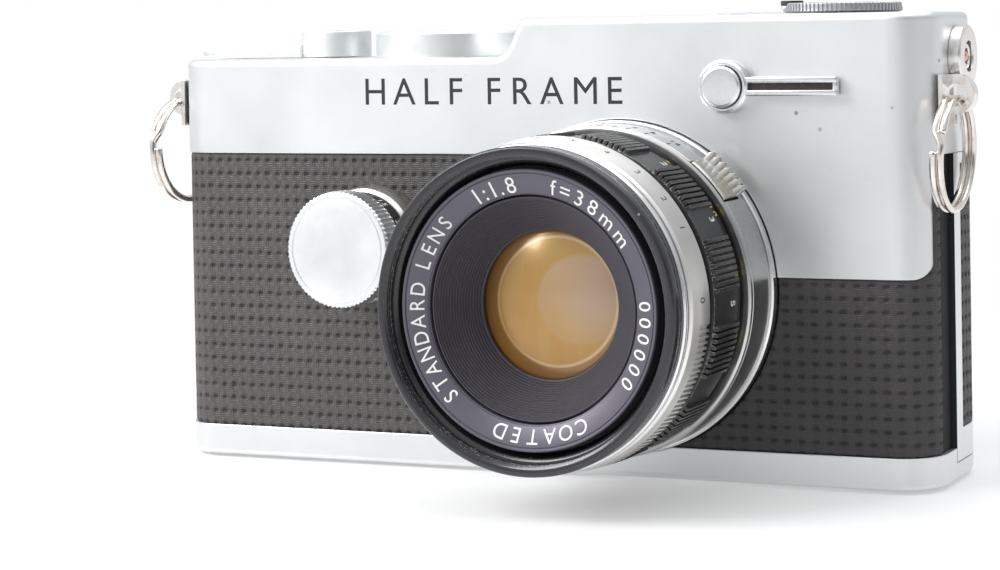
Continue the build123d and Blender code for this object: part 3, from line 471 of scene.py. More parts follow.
def satin(name, base=(0.80, 0.81, 0.82), rough=0.36, grain=1.0, edge=0.25, dirt=(0.30, 0.27, 0.24), marks=True, dark_end=None):
    """Satin plated or anodised metal: fine blasted grain, faint smudges, a few pits."""
    g = Mat(name)
    nb = g.bevel(edge)
    fine = g.noise(9.0, 2.0, 0.6)
    mid = g.noise(1.1, 3.0, 0.6)
    big = g.noise(0.055, 4.0, 0.55)
    h = g.math("ADD", g.math("MULTIPLY", fine, 0.75), g.math("MULTIPLY", mid, 0.25))
    nrm = g.bump(h, 0.22 * grain, 0.045, nb)
    col = g.mix(g.ramp(big, 0.35, 0.7), tuple(b * 0.95 for b in base), base)
    if marks:
        sp = g.specks(5.5, 0.075, 0.46)
        sm = g.math("MULTIPLY", g.ramp(g.noise(0.5, 4.0, 0.7), 0.62, 0.78), g.ramp(g.noise(0.07, 1.0), 0.52, 0.62))
        col = g.mix(g.math("MULTIPLY", sm, 0.16), col, dirt)
        col = g.mix(g.math("MULTIPLY", sp, 0.85), col, dirt)
    r = g.math("ADD", g.ramp(big, 0.3, 0.75, rough - 0.035, rough + 0.05), g.math("MULTIPLY", g.ramp(fine, 0.3, 0.7), 0.05 * grain))
    b = g.n("BsdfPrincipled", Base_Color=col, Metallic=1.0, Roughness=r, Normal=nrm)
    if dark_end is not None:
        # the end faces and the inside of the back cover are painted black
        yy = g.n("SeparateXYZ", Vector=g.mm()).outputs[1]
        k = g.n("BsdfPrincipled", Base_Color=g.mix(g.ramp(mid, 0.3, 0.7), (0.012, 0.013, 0.017), (0.020, 0.021, 0.026)), Roughness=0.45)
        mx = g.n("MixShader", Fac=g.ramp(yy, dark_end + 0.06, dark_end + 0.02))
        g.t.links.new(b.outputs[0], mx.inputs[1])
        g.t.links.new(k.outputs[0], mx.inputs[2])
        return g.surf(mx)
    return g.surf(b)


def turned(name, axis, centre, base=(0.80, 0.81, 0.82), rough=0.3, metal=1.0, pitch=0.09, depth=0.5, edge=0.12, wear=0.0, wearcol=(0.62, 0.60, 0.57), spec=0.5, dust=0.0):
    """Metal turned about an axis: fine circular lines, optional worn specks along the lit edges."""
    g = Mat(name)
    sep = g.n("SeparateXYZ", Vector=g.mm())
    x, y, z = sep.outputs
    a, b_, ax = {"y": (x, z, y), "z": (x, y, z), "x": (y, z, x)}[axis]
    da = g.math("SUBTRACT", a, centre[0])
    db = g.math("SUBTRACT", b_, centre[1])
    rr = g.math("SQRT", g.math("ADD", g.math("MULTIPLY", da, da), g.math("MULTIPLY", db, db)))
    line = g.math("ADD", rr, ax)
    cv = g.n("CombineXYZ", X=line, Y=g.math("MULTIPLY", rr, 0.02), Z=0.0)
    lines = g.noise(1.0 / pitch, 2.0, 0.6, vec=cv.outputs[0])
    fine = g.noise(7.0, 2.0, 0.6)
    nb = g.bevel(edge)
    nrm = g.bump(g.math("ADD", g.math("MULTIPLY", lines, 0.7), g.math("MULTIPLY", fine, 0.3)), 0.25 * depth, 0.03, nb)
    big = g.noise(0.14, 3.0, 0.6)
    col = g.mix(g.ramp(big, 0.3, 0.7), tuple(v * 0.9 for v in base), base)
    r = g.math("ADD", g.ramp(big, 0.3, 0.7, rough - 0.03, rough + 0.05), g.math("MULTIPLY", g.ramp(lines, 0.35, 0.65), 0.06))
    met = metal
    if dust > 0:
        du = g.math("MULTIPLY", g.ramp(g.noise(2.6, 4.0, 0.75), 0.58, 0.74), dust)
        col = g.mix(du, col, (0.32, 0.31, 0.30))
    if wear > 0:
        geo = g.n("NewGeometry")
        dot = g.n("VectorMath", {"operation": "DOT_PRODUCT"}, i0=geo.outputs["Normal"], i1=nb)
        edgy = g.ramp(dot.outputs["Value"], 0.995, 0.90)
        chip = g.ramp(g.noise(1.9, 4.0, 0.7), 0.60 - 0.12 * wear, 0.66 - 0.12 * wear)
        w1 = g.math("MULTIPLY", edgy, chip)
        w2 = g.math("MULTIPLY", g.specks(2.4, 0.10, 0.44), wear)
        wm = g.math("MAXIMUM", w1, w2)
        col = g.mix(wm, col, wearcol)
        met = g.math("MAXIMUM", wm, float(metal)) if metal < 1 else metal
    b = g.n("BsdfPrincipled", Base_Color=col, Metallic=met, Roughness=r, Normal=nrm, IOR=1.45)
    g.set(b, "Specular_IOR_Level", spec)
    return g.surf(b)


def gloss_metal(name, base=(0.86, 0.86, 0.87), rough=0.12, edge=0.12, tarn=(0.55, 0.47, 0.40), tarnish=0.25):
    """Polished plating with hairline scratches and a little tarnish."""
    g = Mat(name)
    sep = g.n("Mapping", Vector=g.mm(), Scale=(0.4, 3.0, 0.4))
    hair = g.noise(3.0, 4.0, 0.75, vec=sep.outputs[0])
    big = g.noise(0.35, 3.0, 0.6)
    nb = g.bevel(edge)
    nrm = g.bump(hair, 0.08, 0.02, nb)
    col = g.mix(g.math("MULTIPLY", g.ramp(big, 0.5, 0.72), tarnish), base, tarn)
    r = g.math("ADD", g.ramp(hair, 0.35, 0.7, rough, rough + 0.10), g.math("MULTIPLY", g.ramp(big, 0.45, 0.7), 0.08))
    b = g.n("BsdfPrincipled", Base_Color=col, Metallic=1.0, Roughness=r, Normal=nrm)
    return g.surf(b)


def paint(name, base, rough=0.5, metal=0.0, grain=0.4, scale=6.0, edge=0.1, spec=0.5, var=0.25, dust=0.0):
    """Matt or semi gloss paint, plastic and printed marks."""
    g = Mat(name)
    fine = g.noise(scale, 3.0, 0.6)
    big = g.noise(scale * 0.07, 3.0, 0.6)
    nb = g.bevel(edge)
    nrm = g.bump(fine, 0.25 * grain, 0.04, nb)
    col = g.mix(g.ramp(big, 0.3, 0.7), tuple(v * (1 - var) for v in base), base)
    if dust > 0:
        du = g.math("MULTIPLY", g.ramp(g.noise(1.3, 5.0, 0.75), 0.55, 0.75), dust)
        col = g.mix(du, col, (0.30, 0.28, 0.26))
    r = g.ramp(big, 0.3, 0.7, rough - 0.05, rough + 0.06)
    b = g.n("BsdfPrincipled", Base_Color=col, Metallic=metal, Roughness=r, Normal=nrm)
    g.set(b, "Specular_IOR_Level", spec)
    return g.surf(b)


def leather(name, base, dark, pit, rough=0.55):
    """Leatherette: fine woven emboss over the modelled dimples, pores, pits and channels painted darker."""
    g = Mat(name)
    tc = g.n("TexCoord")
    sep = g.n("SeparateXYZ", Vector=tc.outputs["UV"])
    u, v = sep.outputs[0], sep.outputs[1]
    def wave(s, period):
        return g.math("SINE", g.math("MULTIPLY", s, 2 * pi / period))
    wu, wv = wave(u, 0.31), wave(v, 0.31)
    # the weave runs in small blocks, lines one way in one block and the other way in the next
    blk = g.math("MULTIPLY", wave(u, pit[0] * 1.0), wave(v, pit[1] * 1.0))
    sel = g.ramp(blk, -0.25, 0.25)
    weave = g.math("ADD", g.math("MULTIPLY", wu, sel), g.math("MULTIPLY", wv, g.math("SUBTRACT", 1.0, sel)))
    uvw = g.n("CombineXYZ", X=u, Y=v, Z=0.0)
    pore = g.noise(4.2, 4.0, 0.7, vec=uvw.outputs[0])
    big = g.noise(0.07, 4.0, 0.6, vec=uvw.outputs[0])
    h = g.math("ADD", g.math("MULTIPLY", weave, 0.42), g.math("MULTIPLY", pore, 1.0))
    nrm = g.bump(h, 0.75, 0.07)
    att = g.n("Attribute", {"attribute_name": "pit"})
    col = g.mix(g.ramp(big, 0.3, 0.7), tuple(x * 0.88 for x in base), base)
    col = g.mix(g.math("MULTIPLY", g.ramp(pore, 0.5, 0.75), 0.35), col, tuple(min(1, x * 1.9) for x in base))
    col = g.mix(g.math("MULTIPLY", g.ramp(weave, 0.1, -0.9), 0.38), col, dark)
    col = g.mix(g.math("MULTIPLY", g.ramp(weave, 0.3, 1.0), 0.22), col, tuple(min(1, x * 1.8) for x in base))
    # the pits and channels are painted darker
    col = g.mix(att.outputs["Fac"], col, dark)
    fade = g.math("MULTIPLY", g.ramp(g.noise(0.11, 3.0, 0.6), 0.55, 0.75), 0.35)
    col = g.mix(fade, col, tuple(min(1, x * 1.45) for x in base))
    r = g.math("ADD", g.ramp(pore, 0.3, 0.7, rough - 0.06, rough + 0.08), g.math("MULTIPLY", att.outputs["Fac"], 0.15))
    b = g.n("BsdfPrincipled", Base_Color=col, Roughness=r, Normal=nrm)
    g.set(b, "Specular_IOR_Level", 0.5)
    return g.surf(b)


def front_element(name):
    """Amber coated glass over a deep barrel, painted as a picture of light and shade: lighter at the top, a painted
    reflection of the rear group to one side with a painted glow, a painted highlight ring, and painted shade of the
    barrel wall round the edge and towards the lower left.
    """
    g = Mat(name)
    sep = g.n("SeparateXYZ", Vector=g.mm())
    x, y, z = sep.outputs
    dx = g.math("SUBTRACT", x, XL)
    dz = g.math("SUBTRACT", z, ZL)
    r0 = g.math("SQRT", g.math("ADD", g.math("MULTIPLY", dx, dx), g.math("MULTIPLY", dz, dz)))

    def disc(cx, cz, r, soft):
        a = g.math("SUBTRACT", dx, cx)
        b = g.math("SUBTRACT", dz, cz)
        d = g.math("SQRT", g.math("ADD", g.math("MULTIPLY", a, a), g.math("MULTIPLY", b, b)))
        return g.ramp(d, r + soft, r - soft)

    # painted light: the glass colour is lighter towards the top
    up = g.ramp(dz, -8.0, 9.0)
    gold = g.mix(up, (0.40, 0.215, 0.045), (0.43, 0.275, 0.09))
    streak = g.noise(0.55, 2.0, 0.5, vec=g.n("Mapping", Vector=g.mm(), Scale=(1.0, 0.2, 0.16)).outputs[0])
    gold = g.mix(g.math("MULTIPLY", g.ramp(streak, 0.35, 0.7), 0.35), gold, (0.47, 0.33, 0.14))
    # painted reflection: the paler image of the rear group, to one side
    painted_rear_reflection = disc(4.9, 0.9, 6.2, 0.30)
    pc = g.mix(g.ramp(dz, -4.0, 5.0), (0.42, 0.275, 0.135), (0.45, 0.335, 0.245))
    gold = g.mix(g.math("MULTIPLY", painted_rear_reflection, 0.75), gold, pc)
    # painted highlight: a soft pale glow inside the reflection
    painted_glow = disc(8.0, 1.2, 4.2, 2.6)
    gold = g.mix(g.math("MULTIPLY", painted_glow, 0.50), gold, (0.42, 0.34, 0.34))
    # painted shade: a dark ring of the barrel's inner wall round the edge, darker to the left
    painted_wall_shade = g.math("SUBTRACT", 1.0, disc(1.1, 0.5, 9.0, 0.16))
    inner = g.math("SUBTRACT", disc(1.1, 0.5, 9.25, 0.10), disc(1.1, 0.5, 8.85, 0.10))
    gold = g.mix(g.math("MULTIPLY", painted_wall_shade, 0.86), gold, g.mix(g.ramp(dx, -11, -6), (0.10, 0.045, 0.02), (0.28, 0.15, 0.06)))
    # painted highlight: a thin pale ring just inside it
    gold = g.mix(g.math("MULTIPLY", inner, 0.55), gold, (0.78, 0.62, 0.42))
    dust = g.specks(1.7, 0.05, 0.5)
    gold = g.mix(g.math("MULTIPLY", dust, 0.5), gold, (0.8, 0.7, 0.55))
    # painted shade: the glass is darker towards the lower left
    side = g.math("ADD", g.math("MULTIPLY", dx, 0.8), g.math("MULTIPLY", dz, 0.35))
    gold = g.mix(g.ramp(side, 2.0, -8.5), gold, g.mix(0.55, gold, (0.20, 0.095, 0.012)))
    body = g.n("BsdfPrincipled", Base_Color=gold, Roughness=0.24, Metallic=0.25)
    g.set(body, "Coat_Weight", 0.45)
    g.set(body, "Coat_Roughness", 0.10)
    g.set(body, "Coat_IOR", 1.6)
    g.set(body, "Coat_Tint", (1.0, 0.86, 0.62))
    return g.surf(body)


def clear_glass(name, tint=(0.93, 0.96, 0.94), rough=0.02):
    g = Mat(name)
    n1 = g.noise(1.5, 3.0, 0.7)
    r = g.ramp(n1, 0.5, 0.8, rough, rough + 0.06)
    b = g.n("BsdfPrincipled", Base_Color=tint, Roughness=r, IOR=1.5)
    g.set(b, "Transmission_Weight", 0.92)
    return g.surf(b)


# ================================================================ the materials
M = {}
M["cover"] = satin("satin_chrome_cover", (0.80, 0.815, 0.825), 0.37, 1.0, 0.30)
M["base"] = satin("satin_chrome_base", (0.79, 0.80, 0.81), 0.36, 1.0, 0.30)
M["back"] = satin("satin_chrome_back", (0.80, 0.815, 0.825), 0.37, 1.0, 0.30, dark_end=-3.9)
M["trim"] = satin("satin_chrome_small", (0.82, 0.825, 0.83), 0.30, 0.6, 0.14, marks=False)
M["chrome"] = gloss_metal("bright_chrome", (0.88, 0.88, 0.885), 0.10, 0.12, tarnish=0.12)
M["lug"] = gloss_metal("bright_chrome_lug", (0.86, 0.84, 0.82), 0.16, 0.14, tarnish=0.45)
M["wire"] = gloss_metal("steel_wire", (0.80, 0.75, 0.71), 0.13, 0.05, tarn=(0.42, 0.33, 0.27), tarnish=0.55)
M["black"] = paint("black_casting_paint", (0.013, 0.013, 0.014), 0.66, grain=0.8, scale=9.0, edge=0.15, spec=0.25)
# one leatherette, painted lighter on the left and darker on the right for how light falls on them
M["leather_l"] = leather("leatherette_left_painted_lighter", (0.074, 0.070, 0.068), (0.020, 0.018, 0.017), (1.75, 2.10), 0.52)
M["leather_r"] = leather("leatherette_right_painted_darker", (0.048, 0.044, 0.045), (0.020, 0.018, 0.018), (2.20, 1.90), 0.54)
M["leather_b"] = leather("leatherette_back", (0.060, 0.054, 0.051), (0.012, 0.010, 0.010), (1.75, 2.10), 0.54)
M["anod"] = turned("black_anodised", "y", (XL, ZL), (0.020, 0.020, 0.022), 0.33, metal=0.0, depth=0.5, edge=0.10, wear=0.9, spec=0.7, dust=0.12)
M["enamel"] = turned("black_enamel", "y", (XL, ZL), (0.016, 0.016, 0.019), 0.20, metal=0.0, depth=0.25, edge=0.14, wear=0.5, spec=0.8, dust=0.05)
M["violet"] = turned("violet_black_ring", "y", (XL, ZL), (0.125, 0.118, 0.145), 0.42, metal=0.55, depth=0.35, edge=0.06, spec=0.5)
M["cone"] = turned("violet_black_cone", "y", (XL, ZL), (0.085, 0.080, 0.098), 0.44, metal=0.45, depth=0.2, edge=0.03, spec=0.5)
M["alloy"] = turned("satin_alloy_ring", "y", (XL, ZL), (0.82, 0.81, 0.79), 0.33, depth=0.6, edge=0.10)
M["dof"] = turned("satin_alloy_scale", "y", (XL, ZL), (0.60, 0.60, 0.60), 0.26, depth=0.5, edge=0.10)
M["mount"] = turned("bright_mount", "y", (XL, ZL), (0.84, 0.84, 0.85), 0.16, depth=0.3, edge=0.10)
M["dialcap"] = turned("satin_dial_cap", "y", (XD, ZD), (0.86, 0.87, 0.88), 0.36, depth=0.4, edge=0.10, pitch=0.12)
M["dialbase"] = turned("satin_dial_base", "y", (XD, ZD), (0.74, 0.73, 0.70), 0.24, depth=0.3, edge=0.12, dust=0.5)
M["dialblack"] = turned("dial_black", "y", (XD, ZD), (0.018, 0.018, 0.018), 0.36, metal=0.0, depth=0.4, edge=0.08, wear=0.6, wearcol=(0.42, 0.27, 0.17), dust=0.9)
M["lever"] = turned("satin_lever", "z", (XS, YS), (0.78, 0.80, 0.80), 0.46, depth=0.4, edge=0.16)
M["collar"] = turned("satin_collar", "z", (XB, YB), (0.77, 0.79, 0.79), 0.46, depth=0.4, edge=0.16)
M["button"] = turned("bright_button", "z", (XB, YB), (0.86, 0.86, 0.87), 0.14, depth=0.3, edge=0.12)
M["rewind"] = turned("satin_rewind", "z", (XR, YR), (0.56, 0.57, 0.58), 0.34, depth=0.5, edge=0.14)
M["timer"] = turned("bright_timer", "y", (XT, ZT), (0.86, 0.87, 0.88), 0.20, depth=0.3, edge=0.12)
M["brass"] = gloss_metal("contact_metal", (0.70, 0.42, 0.34), 0.22, 0.08, tarn=(0.30, 0.12, 0.09), tarnish=0.5)
M["screw"] = gloss_metal("screw_steel", (0.68, 0.67, 0.65), 0.24, 0.08, tarnish=0.4)
M["foil"] = gloss_metal("titanium_foil", (0.42, 0.41, 0.40), 0.30, 0.05, tarnish=0.3)
M["plastic"] = paint("black_plastic", (0.020, 0.020, 0.020), 0.42, grain=0.35, scale=5.0, edge=0.12)
M["counter"] = paint("counter_disc", (0.020, 0.020, 0.021), 0.5, grain=0.3, scale=7.0, edge=0.05)
M["white"] = paint("white_fill", (0.82, 0.82, 0.80), 0.55, grain=0.5, scale=12.0, edge=0.01, var=0.12)
M["blackfill"] = paint("black_fill", (0.020, 0.020, 0.020), 0.5, grain=0.5, scale=12.0, edge=0.01, var=0.3)
M["yellow"] = paint("yellow_fill", (0.75, 0.55, 0.16), 0.5, grain=0.5, scale=12.0, edge=0.01, var=0.2)
M["red"] = paint("red_fill", (0.55, 0.035, 0.02), 0.45, grain=0.5, scale=12.0, edge=0.01, var=0.2)
M["groove"] = paint("groove_fill", (0.030, 0.024, 0.020), 0.45, grain=0.7, scale=8.0, edge=0.05, dust=0.3)
M["coated"] = front_element("amber_coated_glass")
M["glass"] = clear_glass("optical_glass")
M["rearglass"] = clear_glass("amber_rear_glass", (0.85, 0.62, 0.32))
g = Mat("mirror_silver")
sm = g.noise(0.8, 3.0, 0.6)
M["mirror"] = g.surf(g.n("BsdfPrincipled", Base_Color=(0.92, 0.92, 0.92), Metallic=1.0, Roughness=g.ramp(sm, 0.4, 0.8, 0.03, 0.09)))

CAD_LOOK = {
    "body_casting": "black", "bottom_plate": "base", "base_screws": "screw", "tripod_bush": "screw", "back_latch_key": "trim",
    "top_cover": "cover", "cover_screws": "screw", "back_cover": "back", "back_hinge_pin": "screw", "pressure_plate": "black",
    "pressure_spring": "foil", "mount_ring": "mount", "mount_screws": "screw", "lens_release_button": "chrome", "mirror_frame": "black",
    "mirror_glass": "mirror", "shutter_disc": "foil", "focusing_screen": "glass", "finder_prism": "glass", "eyepiece_frame": "trim",
    "eyepiece_lens": "glass", "take_up_spool": "plastic", "sprocket_drum": "trim", "frame_counter_dial": "counter",
    "frame_counter_window": "glass", "shutter_button_collar": "collar", "shutter_button": "button", "rewind_sleeve": "chrome",
    "rewind_fork": "brass", "rewind_knob": "rewind", "rewind_crank": "trim", "rewind_crank_grip": "plastic", "sync_socket": "lug",
    "sync_insulator": "plastic", "sync_pin": "brass", "strap_lugs": "lug", "rear_glass": "rearglass", "aperture_blades": "foil",
}
for node, look in CAD_LOOK.items():
    me = NODES[node].data
    me.materials.clear()
    me.materials.append(M[look])


# ================================================================ leather coverings
def outline_path(kind, inset):
    """Body outline as a list of (x, y, nx, ny) with even steps, for one covering."""
    hx, hy = W / 2 - inset, D / 2 - inset
    cx, cy, r = W / 2 - R, D / 2 - R, R - inset          # front corners
    bx, by, q = W / 2 - RB, D / 2 - RB, RB - inset       # rear corners
    pts = []

    def line(a, b):
        n = max(2, int(np.hypot(b[0] - a[0], b[1] - a[1]) / 0.05))
        return [(a[0] + (b[0] - a[0]) * k / n, a[1] + (b[1] - a[1]) * k / n) for k in range(n + 1)]

    def arc(c, r, a0, a1):
        n = 240
        return [(c[0] + r * cos(rad(a0 + (a1 - a0) * k / n)), c[1] + r * sin(rad(a0 + (a1 - a0) * k / n))) for k in range(n + 1)]

    if kind == "left":
        pts = line((-hx, 1.55), (-hx, -cy)) + arc((-cx, -cy), r, 180, 270) + line((-cx, -hy), (7.0, -hy))
    elif kind == "right":
        a = 360 - math.degrees(math.asin((9.4 - cy) / r))
        pts = line((23.0, -hy), (cx, -hy)) + arc((cx, -cy), r, 270, a)
    else:
        a = 180 - math.degrees(math.asin((6.96 - by) / q))
        pts = arc((-bx, by), q, a, 90) + line((-bx, hy), (bx, hy)) + arc((bx, by), q, 90, 0) + line((hx, by), (hx, -0.72))
    P = np.array(pts)
    keep = np.r_[True, np.hypot(*np.diff(P, axis=0).T) > 1e-6]
    P = P[keep]
    s = np.r_[0, np.cumsum(np.hypot(*np.diff(P, axis=0).T))]
    return P, s


def sheet(name, kind, inset, z0, z1, du, dv, pitch, mat, body, replaces, sdf, phase=(0.0, 0.0), floor=0.55, pit=0.17, swap=False):
    P, s = outline_path(kind, inset)
    nu, nv = int(round(s[-1] / du)), int(round((z1 - z0) / dv))
    U = np.linspace(0, s[-1], nu + 1)
    Vv = np.linspace(z0, z1, nv + 1)
    U, Vv = np.meshgrid(U, Vv, indexing="ij")
    total = s[-1]

    def edge(u, v):
        x = np.interp(u, s, P[:, 0])
        y = np.interp(u, s, P[:, 1])
        d = np.minimum(np.minimum(u, total - u), np.minimum(v - z0, z1 - v))
        return np.minimum(d, sdf(x, y, v)) if sdf else d

    d = edge(U, Vv)
    hole = sdf(np.interp(U, s, P[:, 0]), np.interp(U, s, P[:, 1]), Vv) if sdf else np.full_like(U, 9.0)
    keepv = hole > -0.72 * max(du, dv)
    q = keepv[:-1, :-1] & keepv[1:, :-1] & keepv[:-1, 1:] & keepv[1:, 1:]
    # vertices just inside a cut-out slide onto its edge
    for _ in range(4):
        e = 0.02
        f = lambda u, v: sdf(np.interp(u, s, P[:, 0]), np.interp(u, s, P[:, 1]), v)
        if not sdf:
            break
        h0 = f(U, Vv)
        gu = (f(U + e, Vv) - f(U - e, Vv)) / (2 * e)
        gv = (f(U, Vv + e) - f(U, Vv - e)) / (2 * e)
        gl = np.maximum(gu * gu + gv * gv, 0.2)
        move = (h0 < 0) & keepv
        U = np.where(move, U - h0 * gu / gl, U)
        Vv = np.where(move, Vv - h0 * gv / gl, Vv)
    U = np.clip(U, 0, total)
    Vv = np.clip(Vv, z0, z1)
    d = np.maximum(edge(U, Vv), 0)
    # dimples
    fu = (U - phase[0]) / pitch[0]
    fv = (Vv - phase[1]) / pitch[1]
    iu, iv = np.round(fu), np.round(fv)
    rng = np.random.default_rng(7)
    tab = rng.normal(0, 1, (64, 64, 4))
    t = tab[iu.astype(int) % 64, iv.astype(int) % 64]
    pu = (fu - iu) * pitch[0] + 0.04 * t[..., 0]
    pv = (fv - iv) * pitch[1] + 0.04 * t[..., 1]
    hu, hv = (0.34, 0.27) if not swap else (0.46, 0.25)
    box = np.maximum(np.abs(pu) / (hu + 0.03 * t[..., 2]), np.abs(pv) / (hv + 0.03 * t[..., 3]))
    k = np.clip((1.45 - box) / 0.75, 0, 1)
    k = k * k * (3 - 2 * k)
    # woven blocks: shallow channels along the pit rows and columns
    cu = np.exp(-((fu - iu) * pitch[0] / 0.22) ** 2)
    cv = np.exp(-((fv - iv) * pitch[1] / 0.22) ** 2)
    chan = 0.035 * np.maximum(cu, cv)
    puff = 0.03 * np.cos(2 * pi * fu) * np.cos(2 * pi * fv)
    wob = 0.012 * np.sin(U * 0.83 + 1.3 * np.sin(Vv * 0.37)) * np.sin(Vv * 0.71 + 0.9)
    edge_round = 0.16 * np.clip(1 - d / 0.45, 0, 1) ** 2
    h = -pit * k - chan - puff * 0.5 + wob - edge_round
    x = np.interp(U, s, P[:, 0])
    y = np.interp(U, s, P[:, 1])
    e = 0.05
    tx = np.interp(np.clip(U + e, 0, total), s, P[:, 0]) - np.interp(np.clip(U - e, 0, total), s, P[:, 0])
    ty = np.interp(np.clip(U + e, 0, total), s, P[:, 1]) - np.interp(np.clip(U - e, 0, total), s, P[:, 1])
    L = np.hypot(tx, ty)
    sign = 1.0 if kind in ("left", "right") else -1.0
    nx, ny = sign * ty / L, -sign * tx / L
    X, Y = x + nx * h, y + ny * h
    idx = -np.ones(U.shape, int)
    need = np.zeros(U.shape, bool)
    need[:-1, :-1] |= q
    need[1:, :-1] |= q
    need[:-1, 1:] |= q
    need[1:, 1:] |= q
    idx[need] = np.arange(need.sum())
    V = np.stack([X[need], Y[need], Vv[need]], -1)
    uv = np.stack([U[need] - phase[0], Vv[need] - phase[1]], -1)
    pits = (k + 0.25 * np.maximum(cu, cv))[need]
    a, b, c, dd = idx[:-1, :-1][q], idx[1:, :-1][q], idx[1:, 1:][q], idx[:-1, 1:][q]
    faces = np.stack([a, b, c, dd], -1)
    if sign < 0:
        faces = faces[:, ::-1]
    # skirt round every border, down to the bed of the covering
    ed = {}
    for f in faces:
        for i in range(4):
            key = (f[i], f[(i + 1) % 4])
            ed[key] = True
    border = [(a_, b_) for (a_, b_) in ed if (b_, a_) not in ed]
    bv = sorted({a_ for a_, _ in border})
    down = {v: len(V) + i for i, v in enumerate(bv)}
    nrm = np.stack([nx[need], ny[need]], -1)
    base = np.stack([x[need], y[need], Vv[need]], -1)
    low = np.array([[base[v][0] - nrm[v][0] * floor, base[v][1] - nrm[v][1] * floor, base[v][2]] for v in bv])
    V = np.vstack([V, low])
    uv = np.vstack([uv, uv[bv]])
    pits = np.r_[pits, pits[bv]]
    F_ = faces.tolist() + [[b_, a_, down[a_], down[b_]] for a_, b_ in border]
    ob = make(name, V.tolist(), F_, mat, body, replaces=replaces, slot="leatherette", angle=60, uv=uv, clean=False)
    at = ob.data.attributes.new("pit", "FLOAT", "POINT")
    at.data.foreach_set("value", np.clip(pits, 0, 1).astype(np.float32))
    return ob


def cut_left(x, y, z):
    front = y < -8.0
    a = np.hypot(x - XL, z - ZL) - (24.8 + 0.14)
    b = np.hypot(x - XD, z - ZD) - 7.3
    c = np.hypot(x + 13.7, z - 19.0) - 2.32
    return np.where(front, np.minimum(np.minimum(a, b), c), 9.0)


def cut_right(x, y, z):
    a = np.where(y < -8.0, np.hypot(x - XL, z - ZL) - (24.8 + 0.14), 9.0)
    # the apron, with its rounded lower corner
    qx = x - (X_APRON - 2.2)
    qz = (Z_APRON + 2.2) - z
    ox, oz = np.maximum(qx, 0), np.maximum(qz, 0)
    inside = np.hypot(ox, oz) + np.minimum(np.maximum(qx, qz), 0) - 2.2
    return np.minimum(a, inside - 0.07)


sheet("leather_left", "left", 0.22, Z_BASE + 0.06, Z_SPLIT - 0.1, 1.75 / 9, 2.10 / 10, (1.75, 2.10), M["leather_l"], "camera_body",
      ("front_leather_left",), cut_left, phase=(0.6, 0.75))
sheet("leather_right", "right", 0.22, Z_BASE + 0.06, Z_SPLIT - 0.1, 2.20 / 11, 1.90 / 10, (2.20, 1.90), M["leather_r"], "camera_body",
      ("front_leather_right",), cut_right, phase=(0.3, 0.9), swap=True)
sheet("leather_back", "back", 0.04, 7.48, 46.32, 1.75 / 7, 2.10 / 8, (1.75, 2.10), M["leather_b"], "back",
      ("back_leather",), None, phase=(0.5, 0.4), floor=0.45)


# ================================================================ lens
def ry(points, default=0.1, seg=3):
    """(radius, distance behind the front plane) outline with rounded corners, in row coordinates."""
    return rnd([(p[0], fy(p[1])) + tuple(p[2:]) for p in points], default, seg)


# depth of field ring and bayonet
def mod_dof(th, r, a):
    t = np.degrees(th) % 360
    pocket = (t > 33.7) & (t < 52.3) & (a < fy(-2.95)) & (a > fy(-8.75)) & (r > 21.7)
    return np.where(pocket, 21.7, r), a


ang = np.sort(np.r_[np.arange(0, 360, 1.25), 33.69, 33.71, 52.29, 52.31])
dof_prof = ry([(15.9, 3.0), (17.6, 3.0), (17.6, -1.63, 0.05), (24.35, -1.63, 0.15), (24.33, -2.5, 0), (24.33, -2.94, 0), (24.33, -2.96, 0), (24.31, -7.7, 0), (24.31, -8.05, 0.04), (24.13, -8.2, 0.04), (24.31, -8.35, 0.04),
               (24.3, -8.74, 0), (24.3, -8.76, 0), (24.28, -8.98, 0.1), (23.95, -9.15, 0.08), (23.2, -9.15, 0.05), (23.1, -8.9, 0.05), (20.9, -8.9, 0.05), (20.9, -16.5, 0.05), (19.75, -16.5, 0.05), (19.75, -2.7, 0.05), (15.9, -2.7, 0.05)], 0.05, 2)
lathe("dof_ring", dof_prof, "y", (XL, ZL), M["dof"], "lens", angles=np.radians(ang), mod=mod_dof, replaces=("lens_mount_base",), slot="satin_alloy")
for i, a in enumerate((0, 120, 240)):
    pts = [(XL + r_ * cos(rad(a + t)), ZL + r_ * sin(rad(a + t))) for r_, ts in ((17.2, np.linspace(-16, 16, 12)), (18.8, np.linspace(16, -16, 12))) for t in ts]
    prism(f"bayonet_claw_{i}", pts, "y", fy(1.05), fy(2.35), M["mount"], "lens", bevel=0.12, slot="satin_alloy")

# preview button: a wedge that rises to a scalloped rear edge
th = np.radians(np.linspace(51.5, 34.5, 103))
loops, PV = [], []
for t in th:
    deg = math.degrees(t)
    ph = (deg - 34.5) / 17.0
    scal = abs(math.sin(pi * ph * 7.0))
    end = min(1.0, min(deg - 34.5, 51.5 - deg) / 0.35)
    rise = 1.05 + 0.42 * scal
    top = [(24.25 + 0.12 * end, -8.35), (24.45 + 0.15 * end, -8.05), (24.75, -6.2), (24.95, -4.9), (25.0 + 0.35 * rise * end, -4.6), (24.9 + rise * end, -4.35), (24.9 + rise * end, -3.4), (24.8 + 0.9 * rise * end, -3.15), (22.8, -3.12), (22.8, -8.35)]
    loops.append(top)
V, Fc = [], []
npf = len(loops[0])
for t, lp in zip(th, loops):
    for r_, y_ in lp:
        V.append((XL + r_ * cos(t), fy(y_), ZL + r_ * sin(t)))
for j in range(len(th) - 1):
    for i in range(npf):
        h = (i + 1) % npf
        Fc.append([j * npf + i, j * npf + h, (j + 1) * npf + h, (j + 1) * npf + i])
Fc.append(list(range(npf))[::-1])
Fc.append([(len(th) - 1) * npf + i for i in range(npf)])
g = Mat("satin_alloy_button")
